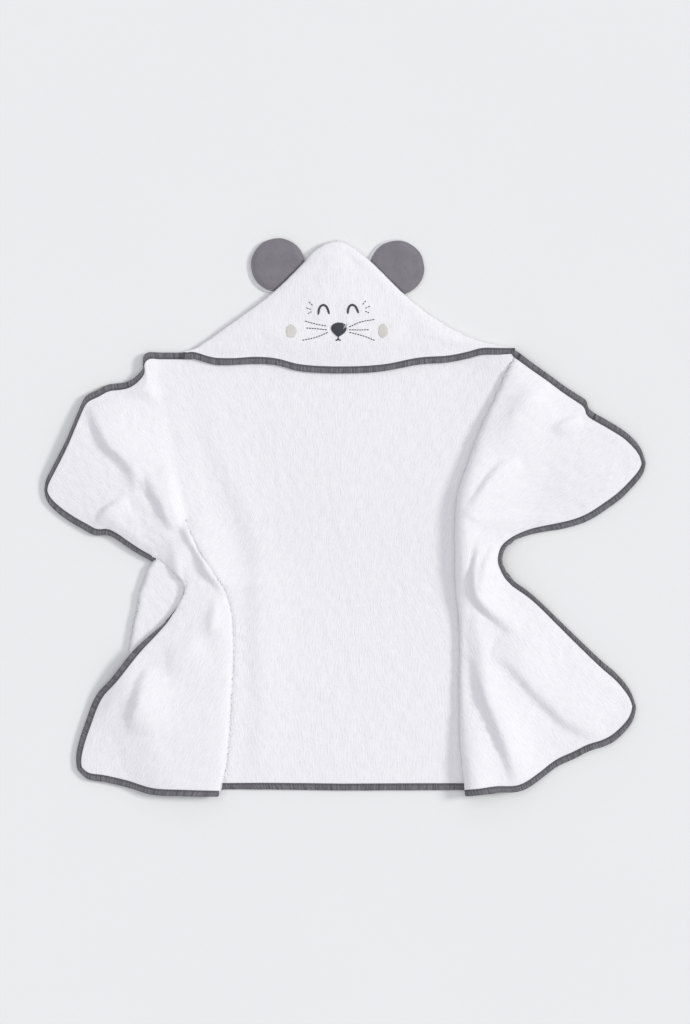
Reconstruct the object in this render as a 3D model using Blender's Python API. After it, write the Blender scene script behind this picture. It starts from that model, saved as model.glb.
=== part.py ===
"""A hooded baby towel laid flat: a terry panel with rolled folds, bound round its hem, and a
two-layer hood with sewn ears and an embroidered mouse face. Metres, +Z up, face side up.
Plan positions are (x, y) with x from the middle of the towel and y up from its bottom hem."""
import bmesh
import bpy
import math
from mathutils import Vector
from mathutils.geometry import interpolate_bezier

# ---- driving dimensions ------------------------------------------------------------------
HEM_Y = -0.3787             # the bottom hem, so that the towel's box is centred on the origin
CLOTH = 0.0030              # terry, loops included
GAP = 0.0003                # between pieces that touch
BINDING_WIDTH = 0.0090
BINDING_WALL = 0.0007       # one layer of the folded tape
LIP_BOTTOM = 0.0014         # the panel's edge, lifted so that the tape can pass under it
LIP_TOP = 0.0032
EDGE_IN_TAPE = 0.0012       # how far the cloth's cut edge stays inside the tape's fold
FLAT_RIM = 0.0110           # the strip beside the hem that stays flat
FOLD_FADE = 0.0300          # over which a fold rises from that strip
HINGE_Y = 0.5710            # the line on which the hood folds up, just below its face edge
HINGE_Z = 0.0140
HOOD_BODY_GAP = 0.0006      # either side of the fold line, between the panel and the hood
HOOD_CROWN = 0.0080         # the free height inside the hood, between its two layers
CROWN_RISE = 0.0300
MOUTH_LIFT = 0.0014         # keeps the face tape clear of the hood's back
EAR_BOTTOM = 0.0008
EAR_LAYER = 0.0020
EAR_GAP = 0.0006            # between an ear's root and the hood's seam
EAR_HINGE_Z = 0.0070
THREAD = 0.0008             # height of the embroidery
CELL = 0.0150               # grid of the shaped sheets

# ---- outlines ----------------------------------------------------------------------------
# The hem, from the hood's left end down the left side, along the bottom and up the right side.
HEM = [
    (-0.2205, 0.599), (-0.262, 0.600), (-0.272, 0.588), (-0.284, 0.565), (-0.314, 0.557),
    (-0.349, 0.541), (-0.363, 0.511), (-0.394, 0.445), (-0.405, 0.414), (-0.392, 0.389),
    (-0.347, 0.360), (-0.313, 0.352), (-0.268, 0.323), (-0.228, 0.290), (-0.214, 0.266),
    (-0.224, 0.248), (-0.269, 0.212), (-0.315, 0.159), (-0.345, 0.119), (-0.360, 0.070),
    (-0.361, 0.038), (-0.346, 0.023), (-0.292, 0.014), (-0.222, 0.003), (-0.120, 0.008),
    (0.000, 0.009), (0.120, 0.007), (0.206, 0.005), (0.245, 0.014), (0.287, 0.043),
    (0.359, 0.074), (0.390, 0.106), (0.388, 0.138), (0.345, 0.184), (0.273, 0.254),
    (0.227, 0.292), (0.208, 0.324), (0.230, 0.348), (0.292, 0.363), (0.352, 0.389),
    (0.390, 0.422), (0.405, 0.453), (0.384, 0.488), (0.329, 0.523), (0.297, 0.553),
    (0.249, 0.589), (0.2415, 0.599), (0.2315, 0.601),
]
# The hood's seam, from its left end over the apex to its right end. The two straight runs
# between EAR_SEAMS points are where the ears are sewn in.
HOOD_SEAM = [
    (-0.2190, 0.600), (-0.199, 0.606), (-0.155, 0.637), (-0.096, 0.681), (-0.054, 0.722),
    (-0.042, 0.736), (-0.023, 0.748), (-0.009, 0.750), (0.004, 0.745), (0.032, 0.724),
    (0.077, 0.680), (0.115, 0.649), (0.174, 0.617), (0.2290, 0.604),
]
EAR_SEAMS = {
    "left": ((-0.096, 0.681), (-0.054, 0.722)),
    "right": ((0.032, 0.724), (0.077, 0.680)),
}
EAR_CENTRES = {"left": (-0.0900, 0.7180), "right": (0.0700, 0.7140)}
EAR_RADIUS = 0.0365
EAR_LINING_SHIFT = {"left": (-0.0012, -0.0014), "right": (-0.0014, 0.0008)}
# The middle of the tape round the face opening, from left to right.
FACE_EDGE = [
    (-0.210, 0.600), (-0.192, 0.594), (-0.155, 0.588), (-0.105, 0.590), (-0.061, 0.580),
    (-0.004, 0.577), (0.053, 0.580), (0.100, 0.589), (0.167, 0.597), (0.221, 0.602),
]

# ---- folds of the panel: centre line, half width, height -----------------------------------
FOLDS = {
    "left_roll": ([(-0.235, 0.560), (-0.218, 0.500), (-0.200, 0.430), (-0.178, 0.350),
                   (-0.160, 0.266), (-0.158, 0.180), (-0.163, 0.040)], 0.040, 0.0240),
    "left_arm": ([(-0.330, 0.500), (-0.300, 0.440), (-0.255, 0.380)], 0.045, 0.0160),
    "left_lobe": ([(-0.220, 0.240), (-0.240, 0.160), (-0.250, 0.080)], 0.050, 0.0140),
    "right_roll": ([(0.222, 0.560), (0.200, 0.510), (0.178, 0.450), (0.166, 0.390),
                    (0.162, 0.300), (0.160, 0.200), (0.163, 0.040)], 0.032, 0.0260),
    "right_arm": ([(0.235, 0.440), (0.290, 0.440), (0.340, 0.440)], 0.045, 0.0140),
    "right_lobe": ([(0.215, 0.270), (0.270, 0.190), (0.310, 0.130)], 0.048, 0.0150),
}

# ---- the embroidered face ------------------------------------------------------------------
EYES = {"left": (-0.0285, 0.6510), "right": (0.0110, 0.6525)}
EYE_RADIUS = 0.0080
EYE_HEIGHT = 0.0120
EYE_STROKE = 0.0022
LASHES = {
    "left": [((-0.0490, 0.6680), (-0.0425, 0.6630)), ((-0.0530, 0.6600), (-0.0435, 0.6580)),
             ((-0.0510, 0.6520), (-0.0435, 0.6545))],
    "right": [((0.0280, 0.6690), (0.0240, 0.6635)), ((0.0340, 0.6625), (0.0262, 0.6590)),
              ((0.0325, 0.6525), (0.0268, 0.6545))],
}
WHISKERS = {
    "left": [((-0.0550, 0.6435), (-0.0250, 0.6355)), ((-0.0520, 0.6330), (-0.0250, 0.6305)),
             ((-0.0580, 0.6170), (-0.0240, 0.6260))],
    "right": [((0.0070, 0.6345), (0.0410, 0.6445)), ((0.0070, 0.6300), (0.0310, 0.6300)),
              ((0.0070, 0.6255), (0.0410, 0.6160))],
}
LINE_STROKE = 0.0014
NOSE_CENTRE = (-0.0085, 0.6310)
NOSE_SIZE = (0.0105, 0.0092)
GLINT_CENTRE = (-0.0020, 0.6365)
MOUTH_CURLS = [(-0.0150, 0.6150), (-0.0120, 0.6128), (-0.0085, 0.6146), (-0.0050, 0.6128),
               (-0.0020, 0.6150)]
CHEEKS = {"left": ((-0.0725, 0.6280), (0.0080, 0.0090)),
          "right": ((0.0516, 0.6280), (0.0068, 0.0095))}

# ---- colours: base colour (linear), roughness ------------------------------------------------
FINISHES = {
    "terry_white": ((0.82, 0.82, 0.86), 0.95),
    "tape_grey": ((0.17, 0.16, 0.19), 0.85),
    "ear_grey": ((0.21, 0.20, 0.23), 0.90),
    "ear_lining": ((0.60, 0.59, 0.62), 0.90),
    "thread_dark": ((0.045, 0.048, 0.055), 0.60),
    "thread_light": ((0.55, 0.56, 0.58), 0.60),
    "cheek_beige": ((0.68, 0.62, 0.54), 0.70),
}


def clear_scene():
    for item in list(bpy.data.objects):
        bpy.data.objects.remove(item, do_unlink=True)


def finish(name):
    material = bpy.data.materials.get(name) or bpy.data.materials.new(name)
    material.use_nodes = True
    shader = material.node_tree.nodes["Principled BSDF"]
    colour, roughness = FINISHES[name]
    shader.inputs["Base Color"].default_value = (*colour, 1.0)
    shader.inputs["Roughness"].default_value = roughness
    shader.inputs["Metallic"].default_value = 0.0
    return material


def smooth_path(points, spacing):
    """A rounded line through the points, as short straight steps."""
    line = [Vector((x, y, 0.0)) for x, y in points]
    tangents = []
    for index in range(len(line)):
        before = line[max(index - 1, 0)]
        after = line[min(index + 1, len(line) - 1)]
        tangents.append((after - before).normalized())
    path = [line[0]]
    for index in range(len(line) - 1):
        start, end = line[index], line[index + 1]
        reach = (end - start).length / 3
        steps = max(2, round((end - start).length / spacing) + 1)
        curve = interpolate_bezier(start, start + tangents[index] * reach,
                                   end - tangents[index + 1] * reach, end, steps)
        path.extend(curve[1:])
    return [(point.x, point.y) for point in path]


def offset_path(path, distance):
    """The path moved sideways to its left by the distance."""
    moved = []
    for index, (x, y) in enumerate(path):
        before = path[max(index - 1, 0)]
        after = path[min(index + 1, len(path) - 1)]
        dx, dy = after[0] - before[0], after[1] - before[1]
        length = math.hypot(dx, dy)
        moved.append((x - dy / length * distance, y + dx / length * distance))
    return moved


def nearest_on(path, x, y):
    """The shortest distance in plan from (x, y) to a path, and the point it is measured to."""
    best, place = math.inf, None
    for (ax, ay), (bx, by) in zip(path, path[1:]):
        dx, dy = bx - ax, by - ay
        along = ((x - ax) * dx + (y - ay) * dy) / (dx * dx + dy * dy)
        along = min(1.0, max(0.0, along))
        foot = (ax + along * dx, ay + along * dy)
        distance = math.hypot(x - foot[0], y - foot[1])
        if distance < best:
            best, place = distance, foot
    return best, place


def distance_to(path, x, y):
    return nearest_on(path, x, y)[0]


def ease(value):
    value = min(1.0, max(0.0, value))
    return value * value * (3.0 - 2.0 * value)


def add_object(name, mesh_data, finish_name, pivot=(0.0, -HEM_Y, 0.0), parent=None):
    """Store a bmesh as a named object whose origin lies at the given plan point and height."""
    centre = Vector((pivot[0], pivot[1] + HEM_Y, pivot[2]))
    for vertex in mesh_data.verts:
        vertex.co = Vector((vertex.co.x, vertex.co.y + HEM_Y, vertex.co.z)) - centre
    bmesh.ops.recalc_face_normals(mesh_data, faces=mesh_data.faces)
    mesh = bpy.data.meshes.new(name)
    mesh_data.to_mesh(mesh)
    mesh_data.free()
    mesh.materials.append(finish(finish_name))
    item = bpy.data.objects.new(name, mesh)
    bpy.context.scene.collection.objects.link(item)
    item.location = centre
    if parent is not None:
        item.parent = parent
        item.location = centre - parent.location
    return item


def sheet(outline, bottom, top, cell=CELL):
    """A sheet of cloth over an outline, cut to a grid so that both faces follow their heights."""
    work = bmesh.new()
    work.faces.new([work.verts.new((x, y, 0.0)) for x, y in outline])
    for axis in (0, 1):
        low = min(point[axis] for point in outline)
        high = max(point[axis] for point in outline)
        normal = Vector((1.0, 0.0, 0.0)) if axis == 0 else Vector((0.0, 1.0, 0.0))
        for step in range(math.floor(low / cell) + 1, math.ceil(high / cell)):
            everything = work.verts[:] + work.edges[:] + work.faces[:]
            bmesh.ops.bisect_plane(work, geom=everything, dist=1e-5,
                                   plane_co=normal * step * cell, plane_no=normal)
    bmesh.ops.triangulate(work, faces=work.faces[:])
    lower = work.verts[:]
    raised = bmesh.ops.extrude_face_region(work, geom=work.faces[:], use_keep_orig=True)
    for vertex in raised["geom"]:
        if isinstance(vertex, bmesh.types.BMVert):
            vertex.co.z = top(vertex.co.x, vertex.co.y)
    for vertex in lower:
        vertex.co.z = bottom(vertex.co.x, vertex.co.y)
    on_floor = [edge for edge in work.edges
                if max(vertex.co.z for face in edge.link_faces for vertex in face.verts) < 1e-6]
    bmesh.ops.dissolve_limit(work, angle_limit=0.001, edges=on_floor,
                             verts=list({vertex for edge in on_floor for vertex in edge.verts}))
    return work


def sweep(path, section, heights):
    """A profile of (sideways, up) points carried along a path, with closed ends."""
    work = bmesh.new()
    rings = []
    for index, (x, y) in enumerate(path):
        before = path[max(index - 1, 0)]
        after = path[min(index + 1, len(path) - 1)]
        dx, dy = after[0] - before[0], after[1] - before[1]
        length = math.hypot(dx, dy)
        ring = []
        for side, up in section:
            place = (x - dy / length * side, y + dx / length * side, heights[index] + up)
            ring.append(work.verts.new(place))
        rings.append(ring)
    count = len(section)
    for ring, following in zip(rings, rings[1:]):
        for index in range(count):
            other = (index + 1) % count
            work.faces.new((ring[index], ring[other], following[other], following[index]))
    work.faces.new(rings[0])
    work.faces.new(list(reversed(rings[-1])))
    return work


def tape_section(cloth_bottom, cloth_top):
    """Binding tape folded over an edge: a C that opens towards the cloth on its left."""
    low, high = cloth_bottom - GAP, cloth_top + GAP
    inner = EDGE_IN_TAPE - GAP
    return [(0.0, low - BINDING_WALL), (BINDING_WIDTH, low - BINDING_WALL),
            (BINDING_WIDTH, low), (inner, low), (inner, high), (BINDING_WIDTH, high),
            (BINDING_WIDTH, high + BINDING_WALL), (0.0, high + BINDING_WALL)]


def run_past(path, way):
    """The path, made 20 mm longer at both ends along X."""
    first, last = path[0], path[-1]
    return [(first[0] + 0.02 * way, first[1])] + path + [(last[0] - 0.02 * way, last[1])]


def rebate_edge(item, name, path, heights, low, high, parent=None):
    """Thin a sheet's edge to a level lip, so that tape can be folded over it."""
    outside, reach = -0.002, BINDING_WIDTH + 0.0010
    wall, clear = EDGE_IN_TAPE - GAP, 0.0300
    section = [(outside, low - clear), (reach, low - clear), (reach, low), (wall, low),
               (wall, high), (reach, high), (reach, clear), (outside, clear)]
    cutter = add_object(name, sweep(path, section, heights), "terry_white", parent=parent)
    cutter.hide_render = True
    cutter.display_type = "WIRE"
    cut = item.modifiers.new(name, "BOOLEAN")
    cut.operation = "DIFFERENCE"
    cut.solver = "EXACT"
    cut.object = cutter


def patch(points, height, thickness=THREAD):
    """A flat embroidered patch over a closed outline."""
    work = bmesh.new()
    face = work.faces.new([work.verts.new((x, y, height)) for x, y in points])
    grown = bmesh.ops.extrude_face_region(work, geom=[face], use_keep_orig=True)
    for vertex in grown["geom"]:
        if isinstance(vertex, bmesh.types.BMVert):
            vertex.co.z += thickness
    return work


def stroke(points, width, height):
    """A line of satin stitch with square ends."""
    section = [(-width / 2, 0.0), (width / 2, 0.0), (width / 2, THREAD), (-width / 2, THREAD)]
    return sweep(points, section, [height] * len(points))


def oval(centre, radii, count=20):
    return [(centre[0] + radii[0] * math.cos(2 * math.pi * step / count),
             centre[1] + radii[1] * math.sin(2 * math.pi * step / count))
            for step in range(count)]


# ---- the panel and its tape --------------------------------------------------------------------
def panel_height(x, y, hem):
    rise = 0.0
    for line, half_width, crest in FOLDS.values():
        across = distance_to(line, x, y) / half_width
        rise = max(rise, crest * (1.0 - ease(across)))
    clear_of_neck = ease((HINGE_Y - y - 0.010) / FOLD_FADE) if abs(x) < 0.235 else 1.0
    clear_of_hem = ease((distance_to(hem, x, y) - FLAT_RIM) / FOLD_FADE)
    return LIP_TOP + rise * min(clear_of_neck, clear_of_hem)


def build_panel():
    hem = smooth_path(HEM, 0.014)
    cut_edge = offset_path(hem, EDGE_IN_TAPE)
    neck_left, neck_right = cut_edge[0][0], cut_edge[-1][0]
    neck = HINGE_Y - HOOD_BODY_GAP
    outline = cut_edge + [(neck_right, neck), (neck_left, neck)]
    panel = sheet(outline, lambda x, y: 0.0, lambda x, y: panel_height(x, y, hem))
    item = add_object("towel_panel", panel, "terry_white")

    cutter_path = run_past(hem, 1)
    rebate_edge(item, "hem_rebate", cutter_path, [0.0] * len(cutter_path), LIP_BOTTOM, LIP_TOP)

    tape = sweep(hem, tape_section(LIP_BOTTOM, LIP_TOP), [0.0] * len(hem))
    add_object("edge_binding", tape, "tape_grey")


# ---- the hood ------------------------------------------------------------------------------------
HOOD_PIVOT = (0.0, HINGE_Y, HINGE_Z)
FACE_PATH = smooth_path(FACE_EDGE, 0.014)


def crown_from_seam(x, y):
    return HOOD_CROWN * ease(distance_to(HOOD_SEAM, x, y) / CROWN_RISE)


def hood_crown(x, y):
    """How far the hood's front stands off its back, level across the face edge's tape."""
    to_edge, edge_point = nearest_on(FACE_PATH, x, y)
    away = ease((to_edge - FLAT_RIM) / 0.015)
    at_edge = crown_from_seam(*edge_point) + MOUTH_LIFT
    return at_edge + (crown_from_seam(x, y) - at_edge) * away


def front_bottom(x, y):
    return CLOTH + GAP + hood_crown(x, y)


def front_top(x, y):
    return front_bottom(x, y) + (LIP_TOP - LIP_BOTTOM)


def build_hood(axis):
    base = HINGE_Y + HOOD_BODY_GAP
    back_outline = [(HOOD_SEAM[0][0], base), (HOOD_SEAM[-1][0], base)] + HOOD_SEAM[::-1]
    back = sheet(back_outline, lambda x, y: 0.0, lambda x, y: CLOTH, cell=0.2)
    add_object("hood_back", back, "terry_white", HOOD_PIVOT, axis)

    tape_outer = offset_path(FACE_PATH, -BINDING_WIDTH / 2)
    cut_edge = offset_path(tape_outer, EDGE_IN_TAPE)
    seam = [point for point in HOOD_SEAM if cut_edge[0][0] < point[0] < cut_edge[-1][0]]
    front = sheet(cut_edge + seam[::-1], front_bottom, front_top, cell=0.012)
    item = add_object("hood_front", front, "terry_white", HOOD_PIVOT, axis)

    heights = [front_bottom(x, y) for x, y in FACE_PATH]
    cutter_path, cutter_heights = run_past(tape_outer, -1), [heights[0]] + heights + [heights[-1]]
    rebate_edge(item, "face_rebate", cutter_path, cutter_heights, 0.0, LIP_TOP - LIP_BOTTOM)
    tape = sweep(tape_outer, tape_section(0.0, LIP_TOP - LIP_BOTTOM), heights)
    add_object("hood_binding", tape, "tape_grey", HOOD_PIVOT, axis)


# ---- ears ------------------------------------------------------------------------------------------
def ear_outline(side, shift=(0.0, 0.0)):
    """A round ear cut off by the seam it is sewn into."""
    first, second = EAR_SEAMS[side]
    dx, dy = second[0] - first[0], second[1] - first[1]
    length = math.hypot(dx, dy)
    away = (-dy / length, dx / length)
    centre = (EAR_CENTRES[side][0] + shift[0], EAR_CENTRES[side][1] + shift[1])
    depth = (centre[0] - first[0]) * away[0] + (centre[1] - first[1]) * away[1] - EAR_GAP
    half = math.acos(max(-1.0, min(1.0, depth / EAR_RADIUS)))
    inward = math.atan2(-away[1], -away[0])
    steps = 36
    points = []
    for step in range(steps + 1):
        angle = inward + half + (2 * math.pi - 2 * half) * step / steps
        points.append((centre[0] + EAR_RADIUS * math.cos(angle),
                       centre[1] + EAR_RADIUS * math.sin(angle)))
    return points


def build_ears(axis):
    for side, (first, second) in EAR_SEAMS.items():
        root = ((first[0] + second[0]) / 2, (first[1] + second[1]) / 2, EAR_HINGE_Z)
        lining = patch(ear_outline(side, EAR_LINING_SHIFT[side]), EAR_BOTTOM, EAR_LAYER)
        add_object(f"ear_{side}_back", lining, "ear_lining", root, axis)
        front = patch(ear_outline(side), EAR_BOTTOM + EAR_LAYER + GAP, EAR_LAYER)
        add_object(f"ear_{side}_front", front, "ear_grey", root, axis)


# ---- the face ----------------------------------------------------------------------------------------
def build_face(axis):
    def sew(name, work, finish_name="thread_dark"):
        add_object(name, work, finish_name, HOOD_PIVOT, axis)

    plateau = front_top(*NOSE_CENTRE) + GAP
    for side, (x, y) in EYES.items():
        arc = [(x - EYE_RADIUS * math.cos(math.pi * step / 12),
                y + EYE_HEIGHT * math.sin(math.pi * step / 12)) for step in range(13)]
        sew(f"eye_{side}", stroke(arc, EYE_STROKE, plateau))
    for label, lines in (("lash", LASHES), ("whisker", WHISKERS)):
        for side, pairs in lines.items():
            for number, pair in enumerate(pairs, 1):
                sew(f"{label}_{side}_{number}", stroke(pair, LINE_STROKE, plateau))

    nose = []
    for step in range(28):
        angle = 2 * math.pi * step / 28
        narrow = 1.0 - 0.30 * max(0.0, -math.sin(angle))
        nose.append((NOSE_CENTRE[0] + NOSE_SIZE[0] * narrow * math.cos(angle),
                     NOSE_CENTRE[1] + NOSE_SIZE[1] * math.sin(angle)))
    sew("nose", patch(nose, plateau))
    glint_height = plateau + THREAD + GAP
    sew("nose_glint", patch(oval(GLINT_CENTRE, (0.0019, 0.0012), 12), glint_height, 0.0004),
        "thread_light")
    mouth = smooth_path(MOUTH_CURLS, 0.002)
    sew("mouth", stroke(mouth, LINE_STROKE, plateau))
    for side, (centre, radii) in CHEEKS.items():
        sew(f"cheek_{side}", patch(oval(centre, radii, 24), plateau), "cheek_beige")


def main():
    clear_scene()
    build_panel()
    axis = bpy.data.objects.new("hood_fold_axis", None)
    bpy.context.scene.collection.objects.link(axis)
    axis.location = (0.0, HINGE_Y + HEM_Y, HINGE_Z)
    build_hood(axis)
    build_ears(axis)
    build_face(axis)


main()
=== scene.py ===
# %% [markdown]
# # A hooded baby towel
#
# A hooded towel is one rectangle of cotton terry with a corner hood sewn to the middle of its
# long edge. Bias tape folds over every raw edge. Here it lies on a table, face side up, with its
# two sides pushed in so that the cloth stands in soft folds. We load the frame that the working
# model gives us, then make each cloth piece over it.

# %% Load the frame
import math

import bmesh
import bpy
import numpy as np
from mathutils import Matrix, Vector, noise
from mathutils.bvhtree import BVHTree


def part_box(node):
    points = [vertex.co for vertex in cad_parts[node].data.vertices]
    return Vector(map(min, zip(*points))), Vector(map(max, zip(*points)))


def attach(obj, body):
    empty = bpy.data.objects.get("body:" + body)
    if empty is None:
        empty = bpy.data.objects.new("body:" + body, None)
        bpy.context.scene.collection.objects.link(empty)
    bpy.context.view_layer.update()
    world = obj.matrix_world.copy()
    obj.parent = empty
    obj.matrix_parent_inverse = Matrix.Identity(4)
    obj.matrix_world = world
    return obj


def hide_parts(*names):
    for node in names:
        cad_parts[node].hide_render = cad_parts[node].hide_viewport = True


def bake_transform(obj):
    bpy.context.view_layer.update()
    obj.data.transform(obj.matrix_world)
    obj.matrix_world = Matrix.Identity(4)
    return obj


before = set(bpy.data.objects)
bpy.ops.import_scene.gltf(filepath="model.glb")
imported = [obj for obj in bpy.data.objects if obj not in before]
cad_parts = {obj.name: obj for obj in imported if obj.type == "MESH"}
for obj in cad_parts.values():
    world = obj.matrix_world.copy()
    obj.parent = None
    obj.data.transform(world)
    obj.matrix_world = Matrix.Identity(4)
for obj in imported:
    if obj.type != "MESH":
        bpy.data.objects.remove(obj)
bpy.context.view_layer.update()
BELOW_HEM = 0.003
HEM_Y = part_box("edge_binding")[0][1] - BELOW_HEM      # where plan y is 0


def plan(x, y, z=0.0):
    """A place on the towel, counted up from just below its hem, in the model's own frame."""
    return (x, y + HEM_Y, z)


# %% [markdown]
# ## The camera and the light
#
# The towel is looked at from straight above. A long lens keeps its sides parallel. Two far lamps
# light all of it evenly, which a lamp near the table would not. The first comes in low from the
# right, as from a window, so it rakes over the pile and gives the folds their soft shadow side.
# The second is very broad and comes from above, and with a pale sky it fills the rest.

# %% Camera
PICTURE_HEIGHT = 1.3824                         # metres of table from top to bottom of the view
CAMERA_HEIGHT = 6.0
PICTURE_CENTRE = (0.0, HEM_Y + 0.3848)


def new_object(name, data):
    """An object in the scene, at the origin, for some data."""
    item = bpy.data.objects.new(name, data)
    bpy.context.scene.collection.objects.link(item)
    return item


def add_camera():
    lens = bpy.data.cameras.new("overhead_camera")
    lens.sensor_fit = "VERTICAL"
    lens.sensor_height = 24.0
    lens.lens = lens.sensor_height * CAMERA_HEIGHT / PICTURE_HEIGHT
    camera = new_object("overhead_camera", lens)
    camera.location = (*PICTURE_CENTRE, CAMERA_HEIGHT)
    bpy.context.scene.camera = camera
    return camera


camera = add_camera()
print("camera lens", round(camera.data.lens, 1), "mm")

# %% Lamps and sky
SKY_COLOUR, SKY_STRENGTH = (0.93, 0.94, 1.0, 1.0), 0.50


def sun_lamp(name, aim, strength, width, colour):
    """A large far lamp that lights the whole table evenly; width is in degrees."""
    lamp = bpy.data.lights.new(name, "SUN")
    lamp.energy = strength
    lamp.angle = math.radians(width)
    lamp.color = colour
    item = new_object(name, lamp)
    item.rotation_euler = Vector(aim).to_track_quat("-Z", "Y").to_euler()


sun_lamp("window_light", (-1.0, -0.20, -0.68), 1.62, 14.0, (1.0, 0.995, 0.99))
sun_lamp("ceiling_light", (0.15, -0.05, -1.0), 0.90, 70.0, (0.985, 0.99, 1.0))

world = bpy.data.worlds.new("studio")
bpy.context.scene.world = world
world.use_nodes = True
sky = world.node_tree.nodes["Background"]
sky.inputs["Color"].default_value = SKY_COLOUR
sky.inputs["Strength"].default_value = SKY_STRENGTH
bpy.context.scene.view_settings.view_transform = "Standard"
print(len(bpy.data.lights), "lamps and a sky")

# %% [markdown]
# ## Shader arithmetic
#
# Each finish is a few sums over patterns. A small class wraps a socket so that the sums read as
# plain Python, and one method adds any other node.

# %% A class for shader sums
class Value:
    """A socket in a material, with arithmetic."""

    def __init__(self, tree, socket):
        self.tree = tree
        self.socket = socket

    def node(self, kind, settings=None, **inputs):
        """A new node; i0, i1 and so on name a socket by its number, other keys by its name."""
        made = self.tree.nodes.new(kind)
        for key, setting in (settings or {}).items():
            setattr(made, key, setting)
        for key, given in inputs.items():
            place = made.inputs[int(key[1:])] if key[0] == "i" and key[1:].isdigit() \
                else made.inputs[key.replace("_", " ")]
            if isinstance(given, Value):
                self.tree.links.new(given.socket, place)
            else:
                place.default_value = given
        return made

    def out(self, made, name=0):
        return Value(self.tree, made.outputs[name])

    def sums(self, operation, first, second):
        made = self.node("ShaderNodeMath", {"operation": operation}, i0=first, i1=second)
        return self.out(made)

    def __add__(self, other):
        return self.sums("ADD", self, other)

    def __sub__(self, other):
        return self.sums("SUBTRACT", self, other)

    def __mul__(self, other):
        return self.sums("MULTIPLY", self, other)

    def __radd__(self, other):
        return self.sums("ADD", other, self)

    def __rsub__(self, other):
        return self.sums("SUBTRACT", other, self)

    def __rmul__(self, other):
        return self.sums("MULTIPLY", other, self)

    def eased(self, low, high):
        """0 below low, 1 above high, smooth between."""
        made = self.node("ShaderNodeMapRange", {"interpolation_type": "SMOOTHSTEP"},
                         Value=self, From_Min=low, From_Max=high)
        return self.out(made)

    def times(self, stretch):
        """A coordinate multiplied by three numbers; a small one draws a pattern out that way."""
        return self.out(self.node("ShaderNodeVectorMath", {"operation": "MULTIPLY"}, i0=self,
                                  i1=stretch))

    def noise(self, scale, detail=2.0, roughness=0.5, stretch=(1.0, 1.0, 1.0)):
        made = self.node("ShaderNodeTexNoise", Vector=self.times(stretch), Scale=scale,
                         Detail=detail, Roughness=roughness)
        return self.out(made, "Fac")

    def cells(self, scale, stretch):
        made = self.node("ShaderNodeTexVoronoi", {"feature": "F1"}, Vector=self.times(stretch),
                         Scale=scale)
        return self.out(made, "Distance")

    def part(self, name):
        """One of the numbers of a coordinate: X, Y or Z."""
        return self.out(self.node("ShaderNodeSeparateXYZ", i0=self), name)

    def between(self, first, second):
        """A colour from first to second as this value goes from 0 to 1."""
        first, second = [part if isinstance(part, Value) else (*part, 1.0)
                         for part in (first, second)]
        made = self.node("ShaderNodeMix", {"data_type": "RGBA"}, i0=self, i6=first, i7=second)
        return self.out(made, 2)


# %% What every cloth finish starts from
CLOTH_SPECULAR = 0.2
SHEEN_ROUGHNESS = 0.5


def cloth_finish(name, roughness, sheen):
    """An empty cloth material, its shader and its flat-cloth and place coordinates."""
    material = bpy.data.materials.new(name)
    material.use_nodes = True
    tree = material.node_tree
    shader = tree.nodes["Principled BSDF"]
    shader.inputs["Roughness"].default_value = roughness
    shader.inputs["Specular IOR Level"].default_value = CLOTH_SPECULAR
    shader.inputs["Sheen Weight"].default_value = sheen
    shader.inputs["Sheen Roughness"].default_value = SHEEN_ROUGHNESS
    coordinates = tree.nodes.new("ShaderNodeTexCoord")
    return material, shader, Value(tree, coordinates.outputs["UV"]), \
        Value(tree, coordinates.outputs["Object"])


def relief(shader, height, distance):
    """Bump the shader's surface by a height of 0 to 1 that stands for a distance in metres."""
    made = height.node("ShaderNodeBump", Height=height, Distance=distance, Strength=1.0)
    height.tree.links.new(made.outputs["Normal"], shader.inputs["Normal"])


def colour_in(shader, colour):
    """Colour the shader's surface by a colour that changes over it."""
    colour.tree.links.new(colour.socket, shader.inputs["Base Color"])


# %% [markdown]
# ## White terry
#
# Terry is woven with loops of yarn that stand up in columns along the warp. From a little way
# off they read as short upright streaks with dark gaps; the gaps' darkness is painted shade that
# falls between the loops. The pattern uses the flat cloth's own coordinates in metres, so that it
# bends with the folds.

# %% Terry finish
# The first tone is painted shade between the loops, the second the loops' own white.
TERRY_TONES = ((0.799, 0.792, 0.816), (0.851, 0.844, 0.861))      # between the loops, and on them
TERRY_RELIEF = 0.0009


def terry_finish():
    material, shader, flat, _ = cloth_finish("terry_white", 0.97, 0.25)
    streaks = flat.noise(460.0, 2.0, 0.6, (1.0, 0.17, 1.0))
    loops = 1.0 - flat.cells(720.0, (1.0, 0.62, 1.0))
    tufts = flat.noise(1100.0, 1.0, 0.5)
    patches = flat.noise(16.0, 2.0, 0.5)
    height = streaks * 0.7 + loops * 0.2 + tufts * 0.2 + patches * 0.3
    # Painted shade: the gaps between the loops are coloured darker.
    loop_gap_shade = (streaks * 0.85 + loops * 0.15).eased(0.26, 0.60)
    colour_in(shader, loop_gap_shade.between(*TERRY_TONES))
    relief(shader, height, TERRY_RELIEF)
    return material


TERRY = terry_finish()
print("terry has", len(TERRY.node_tree.nodes), "nodes")

# %% [markdown]
# ## The panel, thread by thread
#
# The panel is a rectangle of about 100 by 59 cm, but it lies rumpled: each side is pushed in, so
# the cloth goes under itself in a long pleat and comes out again on top. We draw it the way a
# dressmaker would, with a few guide lines: the hem, the two lines where the
# pleats fold over, and how deep each pleat is. Every crosswise thread then runs from the middle
# out to a pleat, under, back, over the fold and on to the side hem.

# %% Guide lines
FLAT_WIDTH, FLAT_LENGTH = 0.997, 0.590
FLAT_LEFT, FLAT_RIGHT = -0.526, 0.471
CLOTH = 0.0030               # thickness of the terry
REST = 0.0026                # height of the cloth's middle where it lies on the table
LAYER = 0.0052               # from one layer of cloth to the next
THREAD_STEP = 0.0040

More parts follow.
